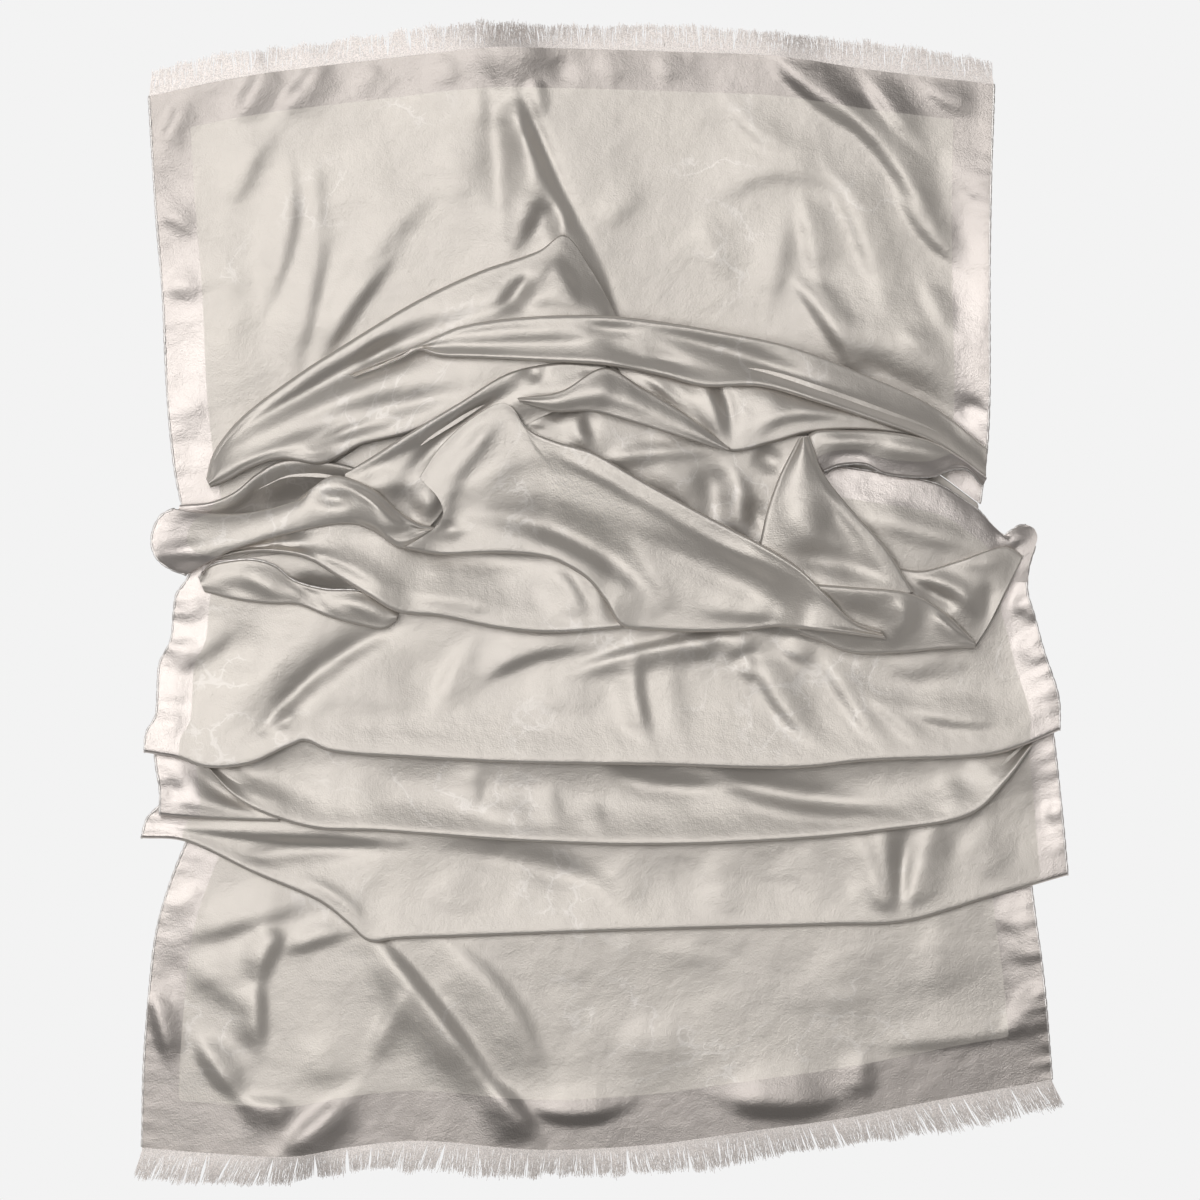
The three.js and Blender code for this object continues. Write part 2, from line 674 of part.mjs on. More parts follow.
// A closed solid between two grids of points of the same size.
function solidBetween(outer, inner) {
  const columns = outer.length;
  const rows = outer[0].length;
  const positions = [...outer.flat(), ...inner.flat()].flatMap((point) => point.toArray());
  const innerStart = columns * rows;
  const index = [];
  const quad = (a, b, c, d) => index.push(a, b, c, a, c, d);
  const at = (i, j) => i * rows + j;
  for (let i = 0; i + 1 < columns; i += 1) {
    for (let j = 0; j + 1 < rows; j += 1) {
      quad(at(i, j), at(i, j + 1), at(i + 1, j + 1), at(i + 1, j));
      quad(
        innerStart + at(i, j),
        innerStart + at(i + 1, j),
        innerStart + at(i + 1, j + 1),
        innerStart + at(i, j + 1),
      );
    }
  }
  const rim = (a, b) => quad(b, a, innerStart + a, innerStart + b);
  for (let i = 0; i + 1 < columns; i += 1) {
    rim(at(i + 1, 0), at(i, 0));
    rim(at(i, rows - 1), at(i + 1, rows - 1));
  }
  for (let j = 0; j + 1 < rows; j += 1) {
    rim(at(0, j), at(0, j + 1));
    rim(at(columns - 1, j + 1), at(columns - 1, j));
  }
  const geometry = new THREE.BufferGeometry();
  geometry.setAttribute('position', new THREE.Float32BufferAttribute(positions, 3));
  geometry.setIndex(index);
  return geometry;
}

function clothWall(stretch, grid) {
  const last = grid.length - 1;
  const inner = grid.map((column, i) => column.map((point, j) => {
    const isHem = stretch.hems && (i === 0 || i === last);
    const thickness = isHem ? HEM_THICKNESS : WALL;
    return point.clone().addScaledVector(gridNormal(grid, i, j), -thickness);
  }));
  return solidBetween(grid, inner);
}

// The outline of one hidden layer, anticlockwise. The lowest runs along the end panels' hidden edges,
// and those above it are moved in from them.
function hiddenOutline(step, farSeam, nearSeam) {
  const shift = (points, x, y) => points.map((point) => new THREE.Vector2(point.x + x, point.y + y));
  const thinned = (points) => points.slice(2, -2).filter((_, k) => step.farInset === 0 || k % 2 === 0);
  const seam = SEAM * 2;
  const sideways = step.sideInset * UNIT;
  const sidePoints = (rows) => {
    const line = new EdgeLine(rows);
    return Array.from({ length: HIDDEN_SIDE_POINTS }, (_, k) => line.at(k / (HIDDEN_SIDE_POINTS - 1)).plan);
  };
  const left = shift(sidePoints(HIDDEN_LEFT), sideways, 0);
  const right = shift(sidePoints(HIDDEN_RIGHT), -sideways, 0);
  const between = (point) => (
    point.x > firstOf(left).x + HIDDEN_MARGIN && point.x < lastOf(right).x - HIDDEN_MARGIN
  );
  const clearOf = (nearPoint, farPoint) => (point) => (
    point.y > nearPoint.y + HIDDEN_MARGIN && point.y < farPoint.y - HIDDEN_MARGIN
  );
  const far = shift(thinned(farSeam), 0, -(step.farInset * UNIT + seam)).filter(between);
  const near = shift(thinned(nearSeam), 0, step.nearShift * UNIT + seam).filter(between);
  const leftBetween = left.filter(clearOf(firstOf(near), firstOf(far)));
  const rightBetween = right.filter(clearOf(lastOf(near), lastOf(far)));
  return [...far, ...rightBetween, ...near.reverse(), ...leftBetween.reverse()].reverse();
}

// One hidden layer: a slab with a rounded edge.
function hiddenLayer(outline, bottom, height) {
  const middle = outline.reduce((sum, point) => sum.add(point), new THREE.Vector2())
    .divideScalar(outline.length);
  const profile = table(['inset', 'level'], [[1, 0], [0, 0.5], [1, 1]]);
  const rings = profile.map((level) => outline.map((point) => {
    const inward = middle.clone().sub(point).normalize();
    return new THREE.Vector3(
      point.x + inward.x * level.inset,
      point.y + inward.y * level.inset,
      bottom + height * level.level,
    );
  }));
  const count = outline.length;
  const positions = rings.flat().flatMap((point) => point.toArray());
  const index = [];
  for (let ring = 0; ring + 1 < rings.length; ring += 1) {
    for (let k = 0; k < count; k += 1) {
      const next = (k + 1) % count;
      const a = ring * count + k;
      const b = ring * count + next;
      index.push(a, a + count, b + count, a, b + count, b);
    }
  }
  const faces = THREE.ShapeUtils.triangulateShape(outline, []);
  const topStart = (rings.length - 1) * count;
  for (const [a, b, c] of faces) {
    index.push(a, b, c);
    index.push(topStart + a, topStart + c, topStart + b);
  }
  const geometry = new THREE.BufferGeometry();
  geometry.setAttribute('position', new THREE.Float32BufferAttribute(positions, 3));
  geometry.setIndex(index);
  return geometry;
}

function signedVolume(geometry) {
  const position = geometry.getAttribute('position');
  const index = geometry.getIndex().array;
  const corner = (k) => new THREE.Vector3().fromBufferAttribute(position, index[k]);
  let volume = 0;
  for (let k = 0; k < index.length; k += 3) {
    volume += corner(k).dot(corner(k + 1).cross(corner(k + 2))) / 6;
  }
  return volume;
}

// Turns every face over where they point into the solid.
function facingOut(geometry) {
  if (signedVolume(geometry) < 0) {
    const index = geometry.getIndex().array;
    for (let k = 0; k < index.length; k += 3) {
      [index[k + 1], index[k + 2]] = [index[k + 2], index[k + 1]];
    }
  }
  return geometry;
}

function toManifold(geometry) {
  const merged = mergeVertices(facingOut(geometry), 1e-4);
  return new wasm.Manifold(new wasm.Mesh({
    numProp: 3,
    vertProperties: new Float32Array(merged.getAttribute('position').array),
    triVerts: new Uint32Array(merged.getIndex().array),
  }));
}

function fromManifold(solid) {
  const mesh = solid.getMesh();
  const geometry = new THREE.BufferGeometry();
  geometry.setAttribute('position', new THREE.Float32BufferAttribute(mesh.vertProperties, 3));
  geometry.setIndex(Array.from(mesh.triVerts));
  return geometry;
}

class Heap {
  // The solids laid so far, which each further stretch is lowered onto.
  constructor() {
    this.reach = 12;
    this.rounds = 14;
    this.tolerance = 0.02;
    this.solids = [];
  }

  add(geometry) {
    this.solids.push(toManifold(geometry));
  }

  // The gap from a solid to the nearest one laid, or to the floor.
  gapTo(solid) {
    const box = solid.boundingBox();
    const isNear = (other) => [0, 1, 2].every((axis) => (
      box.min[axis] - this.reach < other.max[axis] && box.max[axis] + this.reach > other.min[axis]
    ));
    const near = this.solids.filter((other) => isNear(other.boundingBox()));
    const gaps = near.map((other) => other.minGap(solid, this.reach));
    return Math.min(this.reach, box.min[2] + SEAM, ...gaps);
  }

  // How far a solid can be lowered before it lies a seam's gap from what is below it.
  dropOf(geometry) {
    const solid = toManifold(geometry);
    let drop = 0;
    for (let round = 0; round < this.rounds; round += 1) {
      const left = this.gapTo(solid.translate([0, 0, -drop])) - SEAM;
      if (left < this.tolerance) {
        break;
      }
      drop += left;
    }
    return drop;
  }
}

function hiddenLayers(outlines) {
  const sunk = 0.2;
  const slabs = outlines.map((outline, k) => {
    const bottom = k === 0 ? 0 : k * HIDDEN_LAYER - sunk;
    const height = (k + 1) * HIDDEN_LAYER - bottom;
    return toManifold(hiddenLayer(outline, bottom, height));
  });
  return fromManifold(slabs.reduce((joined, slab) => joined.add(slab)));
}

function isInside(outline, x, y) {
  let crossings = 0;
  outline.forEach((a, k) => {
    const b = outline[(k + 1) % outline.length];
    if ((a.y > y) !== (b.y > y) && x < ((b.x - a.x) * (y - a.y)) / (b.y - a.y) + a.x) {
      crossings += 1;
    }
  });
  return crossings % 2 === 1;
}

// A fringe: strands side by side, fused at their roots to a strip that lies along the cloth's end.
function fringeGeometry(rootPoints, outwardSign, tipSpread) {
  const line = new SeamLine(rootPoints);
  const positions = [];
  const index = [];
  const point = (plan, z) => {
    positions.push(plan.x, plan.y, z);
    return positions.length / 3 - 1;
  };
  const quad = (a, b, c, d) => index.push(a, b, c, a, c, d);
  const stations = [];
  for (let k = 0; k < FRINGE.strands; k += 1) {
    stations.push(k / FRINGE.strands, (k + FRINGE.fill) / FRINGE.strands);
  }
  const outward = (t) => {
    const step = 0.5 / FRINGE.strands;
    const tangent = line.at(t + step).sub(line.at(t - step)).normalize();
    return new THREE.Vector2(-tangent.y, tangent.x).multiplyScalar(outwardSign);
  };
  const sections = stations.map((t) => {
    const out = outward(t);
    const inner = line.at(t).clone().addScaledVector(out, SEAM);
    const outer = inner.clone().addScaledVector(out, FRINGE.backing);
    return {
      t,
      outer,
      out,
      innerTop: point(inner, FRINGE.thickness),
      innerBottom: point(inner, 0),
      outerTop: point(outer, FRINGE.thickness),
      outerBottom: point(outer, 0),
    };
  });
  const tipOf = (section, strand) => {
    const wander = Math.sin(strand * 1.7) + Math.sin(strand * 0.31);
    const lean = FRINGE.lean * wander;
    const sideways = new THREE.Vector2(-section.out.y, section.out.x).multiplyScalar(lean * FRINGE.length);
    const spread = new THREE.Vector2((2 * section.t - 1) * tipSpread, 0);
    const length = FRINGE.length * (1 + FRINGE.lengthSpread * Math.sin(strand * 2.3));
    return section.outer.clone().addScaledVector(section.out, length).add(sideways).add(spread);
  };
  for (let k = 0; k + 1 < sections.length; k += 1) {
    const a = sections[k];
    const b = sections[k + 1];
    quad(a.innerTop, a.outerTop, b.outerTop, b.innerTop);
    quad(a.innerBottom, b.innerBottom, b.outerBottom, a.outerBottom);
    quad(a.innerBottom, a.innerTop, b.innerTop, b.innerBottom);
    if (k % 2 === 1) {
      quad(a.outerTop, a.outerBottom, b.outerBottom, b.outerTop);
    } else {
      const strand = k / 2;
      const tipA = tipOf(a, strand);
      const tipB = tipOf(b, strand);
      const aTop = point(tipA, FRINGE.thickness - FRINGE.tipRise);
      const aBottom = point(tipA, FRINGE.tipRise);
      const bTop = point(tipB, FRINGE.thickness - FRINGE.tipRise);
      const bBottom = point(tipB, FRINGE.tipRise);
      quad(a.outerTop, aTop, bTop, b.outerTop);
      quad(a.outerBottom, b.outerBottom, bBottom, aBottom);
      quad(a.outerTop, a.outerBottom, aBottom, aTop);
      quad(b.outerTop, bTop, bBottom, b.outerBottom);
      quad(aTop, aBottom, bBottom, bTop);
    }
  }
  const first = sections[0];
  const last = sections[sections.length - 1];
  quad(first.innerTop, first.innerBottom, first.outerBottom, first.outerTop);
  quad(last.innerTop, last.outerTop, last.outerBottom, last.innerBottom);
  const geometry = new THREE.BufferGeometry();
  geometry.setAttribute('position', new THREE.Float32BufferAttribute(positions, 3));
  geometry.setIndex(index);
  return geometry;
}

function piece(name, geometry, color) {
  const closed = facingOut(geometry);
  closed.computeVertexNormals();
  const material = new THREE.MeshStandardMaterial({ color, roughness: 0.45, metalness: 0 });
  const mesh = new THREE.Mesh(closed, material);
  mesh.name = name;
  return mesh;
}

const stole = new THREE.Group();
const support = new Support();
const heap = new Heap();

// The end panels lie on the floor and their seams bound the hidden layers, so they are laid first.
const panels = STRETCHES.slice(0, 2).map((stretch) => {
  const grid = surfaceOf(stretch, support);
  const wall = clothWall(stretch, grid);
  stole.add(piece(stretch.name, wall, SATIN));
  heap.add(wall);
  return grid;
});
const [farPanel, nearPanel] = panels;
panels.forEach((grid) => support.lay(grid));

const farSeam = farPanel.map(lastOf);
const nearSeam = nearPanel.map(firstOf);
const outlines = HIDDEN_STEPS.map((step) => hiddenOutline(step, farSeam, nearSeam));
const hidden = hiddenLayers(outlines);
stole.add(piece('hidden_layers', hidden, SATIN));
heap.add(hidden);
outlines.forEach((outline, k) => support.layFlat(outline, (k + 1) * HIDDEN_LAYER));

for (const stretch of STRETCHES.slice(2)) {
  const grid = surfaceOf(stretch, support);
  const drop = heap.dropOf(clothWall(stretch, grid));
  grid.flat().forEach((point) => {
    point.z -= drop;
  });
  const wall = clothWall(stretch, grid);
  stole.add(piece(stretch.name, wall, SATIN));
  heap.add(wall);
  support.lay(grid);
}

stole.add(piece('fringe_far', fringeGeometry(farPanel.map(firstOf), 1, -4), THREAD));
stole.add(piece('fringe_near', fringeGeometry(nearPanel.map(lastOf), -1, 8), THREAD));

export default stole;
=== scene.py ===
"""Evening stole of silk satin, laid down with its middle gathered into a heap and pleats.

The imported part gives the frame. Each stretch of its cloth is made here again as a thin shell with
its fine creases, and the hems, the fringes and the layers folded away get their own forms.
"""

import logging
import math
from dataclasses import dataclass, field
from enum import Enum

import bpy
import numpy as np
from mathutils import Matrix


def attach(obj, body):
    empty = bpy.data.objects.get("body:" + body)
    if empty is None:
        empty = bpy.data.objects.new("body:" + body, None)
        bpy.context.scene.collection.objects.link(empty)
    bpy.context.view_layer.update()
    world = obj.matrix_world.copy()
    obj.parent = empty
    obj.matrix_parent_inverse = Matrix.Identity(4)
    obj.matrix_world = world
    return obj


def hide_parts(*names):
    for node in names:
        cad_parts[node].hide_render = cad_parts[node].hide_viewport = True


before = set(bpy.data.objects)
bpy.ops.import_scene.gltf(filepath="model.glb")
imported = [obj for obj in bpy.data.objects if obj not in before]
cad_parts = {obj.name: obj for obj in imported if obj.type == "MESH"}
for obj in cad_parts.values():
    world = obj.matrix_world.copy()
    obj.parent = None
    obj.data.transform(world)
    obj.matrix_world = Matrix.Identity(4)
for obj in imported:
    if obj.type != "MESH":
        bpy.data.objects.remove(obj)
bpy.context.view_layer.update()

log = logging.getLogger("stole")
Array = np.ndarray
Rows = tuple[tuple[float, ...], ...]

STOLE_WIDTH = 700.0
WIDTH_IN_PLAN = 933
UNIT = STOLE_WIDTH / WIDTH_IN_PLAN
PLAN_CENTRE = np.array([598.1, 602.0])
PHOTO_MIDDLE = np.array([600.0, 600.0])
PHOTO_SIDE = 1200
METRE = 0.001

STEP = 2.66
THICKNESS = 0.5
CLEARANCE = 0.3
RETURN_LENGTH = 11.0
FOLD_ARC_POINTS = 10
RETURN_POINTS = 5
HEM_RADIUS = 1.1
BORDER_WIDTH = 30.0
LEAST_ROUND = 0.08
ROLL_CROWN = 0.8
SHEET_CROWN = 1.4
PLEAT_CREST = 1.15
PLEAT_CROWN = 1.2
STITCH_STEP = 8.5
BLEND_WIDTH = 1.2
AT_FAR_EDGE, AT_NEAR_EDGE = 0.15, 0.85
FAR_FROM_HEM = 8.0
ARC_MIDDLE = FOLD_ARC_POINTS // 2
FAR_CLOTH_SEED, NEAR_CLOTH_SEED, FIRST_LAID_SEED, GATHER_SEED = 11, 12, 20, 500
FAR_FRINGE_SEED, NEAR_FRINGE_SEED = 31, 32


def to_plan(points: Array) -> Array:
    """Turns plan units, x to the right and y to the near end, into millimetres of the part."""
    return (np.asarray(points, float) - PLAN_CENTRE) * (UNIT, -UNIT)


def smooth_step(x: Array) -> Array:
    """Runs smoothly from 0 at 0 to 1 at 1: 3x squared less 2x cubed, clamped."""
    t = np.clip(x, 0.0, 1.0)
    return t * t * (3.0 - 2.0 * t)


def smooth_max(a: Array, b: Array, width: float) -> Array:
    """The larger of two heights, rounded where they cross: half of a + b + the root of their
    difference squared plus width squared."""
    return 0.5 * (a + b + np.sqrt((a - b) ** 2 + width ** 2))


def run_length(path: Array) -> Array:
    """How far along a path each of its points is."""
    return np.concatenate([[0.0], np.cumsum(np.linalg.norm(np.diff(path, axis=0), axis=1))])


def along_path(places: Array, length: Array, path: Array) -> Array:
    """Points of a path at places along it, given how far along each of its own points is."""
    return np.stack([np.interp(places, length, path[:, k]) for k in range(path.shape[1])], axis=-1)


def line_lengths(points: Array, axis: int) -> Array:
    """The length of each line of a grid along an axis."""
    return np.linalg.norm(np.diff(points, axis=axis), axis=-1).sum(axis=axis)


def shifted(values: Array, reach: int, axis: int) -> list[Array]:
    """Values moved along an axis by whole steps, those at its ends repeated.

    Args:
        values: one row of values, or a grid of them.
        reach: the most steps either way.
        axis: the axis.

    Returns:
        One moved copy for each step.
    """
    pad = [(0, 0)] * values.ndim
    pad[axis] = (reach, reach)
    wide = np.pad(values, pad, mode="edge")
    size = values.shape[axis]
    return [np.take(wide, range(k, k + size), axis=axis) for k in range(2 * reach + 1)]


class Side(Enum):
    """The four edges of a stretch, as it lies."""

    LEFT = "left"
    RIGHT = "right"
    FAR = "far"
    NEAR = "near"


@dataclass(frozen=True)
class EdgeLine:
    """A smooth line through a short table of places, with the height that the cloth aims for and
    how much of its full roundness the fold there has, 1 unless the table says otherwise."""

    rows: Rows
    span_steps: int = 40

    def dense(self) -> Array:
        """The line as many points: a centripetal Catmull-Rom curve through the table's places.

        Returns:
            Points in millimetres, with x, y, height and roundness.
        """
        table = np.array([row + (0.0, 1.0)[len(row) - 2:] for row in self.rows])
        points = np.column_stack([to_plan(table[:, :2]), table[:, 2:]])
        ends = [2 * points[0] - points[1]], [2 * points[-1] - points[-2]]
        padded = np.vstack([ends[0], points, ends[1]])
        p0, p1, p2, p3 = (padded[k:len(padded) - 3 + k, None, :] for k in range(4))
        d0, d1, d2 = (
            np.sqrt(np.linalg.norm(b - a, axis=-1, keepdims=True)) for a, b in ((p0, p1), (p1, p2), (p2, p3))
        )
        start = ((p1 - p0) / d0 - (p2 - p0) / (d0 + d1) + (p2 - p1) / d1) * d1
        end = ((p2 - p1) / d1 - (p3 - p1) / (d1 + d2) + (p3 - p2) / d2) * d1
        t = np.linspace(0, 1, self.span_steps, endpoint=False)[None, :, None]
        line = (
            (2 * t ** 3 - 3 * t ** 2 + 1) * p1 + (t ** 3 - 2 * t ** 2 + t) * start
            + (3 * t ** 2 - 2 * t ** 3) * p2 + (t ** 3 - t ** 2) * end
        )
        return np.vstack([line.reshape(-1, 4), points[-1:]])

    def at(self, t: Array) -> Array:
        """Places at shares of the line's length.

        Args:
            t: shares from 0 to 1, of any shape.

        Returns:
            Points with x, y, height and roundness, one for each share.
        """
        line = self.dense()
        length = run_length(line[:, :3])
        return along_path(np.clip(t, 0, 1) * length[-1], length, line)


@dataclass(frozen=True)
class Border:
    """The satin border along one edge of a stretch: its edge, its width as it lies, and how far in
    from that edge the hem itself is."""

    side: Side
    width: float = BORDER_WIDTH
    hem_inset: float = 0.0


@dataclass(frozen=True)
class Stretch:
    """One stretch of the cloth that shows.

    Edges are tables of x, y and aimed height. Folds are tables of a curve's start, bend and end,
    its width in plan units, its height in millimetres and how far it leans to its left. Of each
    fold's height, the strength's share is kept.
    """

    name: str
    far: Rows
    near: Rows
    left: Rows = ()
    right: Rows = ()
    crown: float = 0.0
    far_fold: float = 0.0
    near_fold: float = 0.0
    folds: Rows = ()
    borders: tuple[Border, ...] = ()
    hems: tuple[Side, ...] = ()
    start_of_cloth: float = 0.0
    ripple: float = 0.3
    loose_end: bool = False
    fold_strength: float = 1.0


class Support:
    """The height of what has been laid so far, on square cells."""

    def __init__(self, cell: float = 2.5, half_width: float = 390.0, half_length: float = 465.0) -> None:
        """Starts with the bare floor.

        Args:
            cell: side of a cell in millimetres.
            half_width: how far the cells reach to each side.
            half_length: how far they reach to each end.
        """
        self.cell = cell
        self.middle = np.array([round(half_width / cell), round(half_length / cell)])
        self.heights = np.zeros(tuple(2 * self.middle + 1))
        self.spread_heights = self.heights.copy()

    def lay(self, points: Array, reach: int = 2) -> None:
        """Lays a grid of points down and renews the smooth height above everything laid.

        Args:
            points: a grid of x, y and height.
            reach: cells over which the highest height, and then the mean, is taken.
        """
        middles = 0.25 * (points[1:, 1:] + points[:-1, 1:] + points[1:, :-1] + points[:-1, :-1])
        for places in (points.reshape(-1, 3), middles.reshape(-1, 3)):
            index = np.rint(places[:, :2] / self.cell).astype(int) + self.middle
            np.maximum.at(self.heights, (index[:, 0], index[:, 1]), places[:, 2])
        spread = self.heights
        for axis in (0, 1):
            spread = np.max(shifted(spread, reach, axis), axis=0)
        for axis in (0, 1, 0, 1):
            spread = np.mean(shifted(spread, reach, axis), axis=0)
        self.spread_heights = spread

    def under(self, plan: Array) -> Array:
        """The smooth height above all that lies, evened out between the four cells round each place.

        Args:
            plan: places, of any shape, with x and y.

        Returns:
            One height for each place.
        """
        heights = self.spread_heights
        place = plan / self.cell + self.middle
        low = np.clip(np.floor(place).astype(int), 0, np.array(heights.shape) - 2)
        part = place - low
        i, j = low[..., 0], low[..., 1]
        a, b = part[..., 0], part[..., 1]
        return (
            heights[i, j] * (1 - a) * (1 - b) + heights[i + 1, j] * a * (1 - b)
            + heights[i, j + 1] * (1 - a) * b + heights[i + 1, j + 1] * a * b
        )

    def exact(self, plan: Array) -> Array:
        """The height of what lies at each place, cell by cell."""
        nearest = np.rint(plan / self.cell).astype(int) + self.middle
        index = np.clip(nearest, 0, np.array(self.heights.shape) - 1)
        return self.heights[index[..., 0], index[..., 1]]


@dataclass(frozen=True)
class FoldShape:
    """The shape that all soft ridges and troughs share.

    Each one follows a quadratic curve. Its height is a bell of the distance to the curve, wider on
    the side that it leans to, and it narrows and fades at both ends.
    """

    curve_steps: int = 22
    margin_widths: float = 3.0
    taper_rate: float = 2.6
    lean_effect: float = 0.85
    end_width: float = 0.62
    added_width: float = 0.45
    end_height: float = 0.15
    added_height: float = 0.85

    def relief(self, plan: Array, folds: Rows, strength: float) -> Array:
        """The height of all the ridges and troughs of a table together.

        Args:
            plan: a grid of x and y.
            folds: rows of start, bend, end, width, height and lean.
            strength: how much of its height each keeps.

        Returns:
            Heights in millimetres on the same grid.
        """
        total = np.zeros(plan.shape[:-1])
        t = np.linspace(0, 1, self.curve_steps + 1)[:, None]
        for x0, y0, xm, ym, x1, y1, width, height, lean in folds:
            start, bend, end = to_plan([(x0, y0), (xm, ym), (x1, y1)])
            line = (1 - t) ** 2 * start + 2 * t * (1 - t) * bend + t ** 2 * end
            width_mm = width * UNIT
            margin = self.margin_widths * width_mm
            above, below = plan > line.min(axis=0) - margin, plan < line.max(axis=0) + margin
            inside = np.all(above & below, axis=-1)
            if inside.any():
                bell = self._bell(plan[inside], line, width_mm, lean)
                total[inside] += strength * height * bell
        return total

    def _bell(self, places: Array, line: Array, width: float, lean: float) -> Array:
        """The height of one ridge of height 1 at some places.

        Args:
            places: rows of x and y.
            line: points along the ridge's curve.
            width: its width in millimetres.
            lean: how far it leans to its left.

        Returns:
            One height for each place.
        """
        run = np.diff(line, axis=0)[None]
        offset = places[:, None, :] - line[None, :-1]
        share = np.clip(np.sum(offset * run, axis=-1) / np.sum(run * run, axis=-1), 0, 1)
        away = offset - share[..., None] * run
        distance = np.linalg.norm(away, axis=-1)
        nearest = np.argmin(distance, axis=1)
        rank = np.arange(len(nearest))
        along = (nearest + share[rank, nearest]) / self.curve_steps
        ahead, aside = run[0, nearest], away[rank, nearest]
        turn = ahead[:, 0] * aside[:, 1] - ahead[:, 1] * aside[:, 0]
        side = np.clip(turn / (np.linalg.norm(ahead, axis=-1) * width), -1, 1)
        taper = smooth_step(self.taper_rate * np.minimum(along, 1 - along))
        leant = 1 + self.lean_effect * lean * side
        reach = width * leant * (self.end_width + self.added_width * taper)
        ends = self.end_height + self.added_height * taper
        return ends * np.exp(-(distance[rank, nearest] / reach) ** 2)


@dataclass(frozen=True)
class Ripple:
    """The slight unevenness of cloth that has been handled: a sum of sine waves whose directions,
    lengths and phases are drawn once from a seed, each bent by the one before it."""

    seed: int
    shortest: float = 26.0
    longest: float = 120.0
    count: int = 9
    bend: float = 0.12

    def height(self, plan: Array) -> Array:
        """Height between about -1 and 1 at each place.

        Args:
            plan: a grid of x and y in millimetres.

        Returns:
            The heights on the same grid.
        """
        draw = np.random.RandomState(self.seed)
        total = np.zeros(plan.shape[:-1])
        bent = plan.astype(float).copy()
        for _ in range(self.count):
            angle = draw.uniform(0, 2 * math.pi)
            length = draw.uniform(self.shortest, self.longest)
            phase = draw.uniform(0, 2 * math.pi)
            ahead = np.array([math.cos(angle), math.sin(angle)])
            aside = np.array([-math.sin(angle), math.cos(angle)])
            wave = np.sin((bent @ ahead) * 2 * math.pi / length + phase)
            total += wave * length / self.longest
            bent = bent + wave[..., None] * self.bend * length * aside
        return total / math.sqrt(self.count)


@dataclass(frozen=True)
class Gathers:
    """The small gathers that a stitched hem pulls into the cloth beside it: a sine along the hem,
    uneven from stitch to stitch, that fades with the distance to the hem."""

    seed: int
    height: float = 0.55
    reach: float = 9.0
    stitches_a_wave: float = 1.55
    waver: float = 1.5
    waver_step: float = 20.0
    weakest: float = 0.4
    strongest: float = 1.3
    strength_step: float = 30.0

    @staticmethod
    def _drawn(
        draw: np.random.RandomState, place: Array, step: float, low: float, high: float,
    ) -> Array:
        """Values at places along a hem, drawn between two limits at every step."""
        marks = np.arange(0, place[-1] + 2 * step, step)
        return np.interp(place, marks, draw.uniform(low, high, len(marks)))

    def relief(self, plan: Array, hems: tuple[Side, ...]) -> Array:
        """The height of the gathers at each place.

        Args:
            plan: a grid of x and y.
            hems: the edges that are hemmed.

        Returns:
            Heights in millimetres on the same grid.
        """
        draw = np.random.RandomState(self.seed)
        total = np.zeros(plan.shape[:-1])
        for side, edge in ((Side.LEFT, plan[:1]), (Side.RIGHT, plan[-1:])):
            if side not in hems:
                continue
            place = run_length(edge[0])
            waver = self._drawn(draw, place, self.waver_step, -1, 1)
            strength = self._drawn(draw, place, self.strength_step, self.weakest, self.strongest)
            turns = place / (self.stitches_a_wave * STITCH_STEP)
            wave = np.sin(2 * math.pi * turns + self.waver * waver) * strength
            distance = np.linalg.norm(plan - edge, axis=-1)
            total += self.height * wave[None] * np.exp(-distance / self.reach)
        return total


@dataclass
class ClothGrid:
    """A finished stretch: its points, where each lies on the flat cloth, and its distance to the
    nearest hem or end, as a share of the border's width."""

    points: Array
    cloth: Array
    to_hem: Array
    to_end: Array
    interior: slice


@dataclass(frozen=True)
class FoldedEdge:
    """One edge of a stretch, column by column: its places, the level way in from it, the radius of
    its rounded fold, the length that returns under it, and how high its top is."""

    rim: Array
    inward: Array
    radius: Array
    returned: Array
    top: Array

    def folded(self, top: Array) -> Array:
        """The rounded fold and the layer that returns under it.

        The fold is a half circle: at an angle a from the top, the cloth is radius times 1 less the
        sine of a in from the rim, and radius times 1 less the cosine of a below the top.

        Args:
            top: the height at which the fold starts, for each column.

        Returns:
            Points for each column, from just past the shoulder to the returned layer's end.
        """
        angle = np.linspace(0, math.pi, FOLD_ARC_POINTS + 1)[1:]
        arc_in = self.radius[:, None] * (1 - np.sin(angle))
        arc_down = self.radius[:, None] * (1 - np.cos(angle))
        back = np.linspace(0, 1, RETURN_POINTS)[1:]
        back_in = self.radius[:, None] + self.returned[:, None] * back
        back_down = np.repeat(2 * self.radius[:, None], RETURN_POINTS - 1, axis=1)
        inset = np.concatenate([arc_in, back_in], axis=1)
        down = np.concatenate([arc_down, back_down], axis=1)
        plan = self.rim[:, None, :2] + self.inward[:, None, :] * inset[..., None]
        return np.concatenate([plan, (top[:, None] - down)[..., None]], axis=-1)


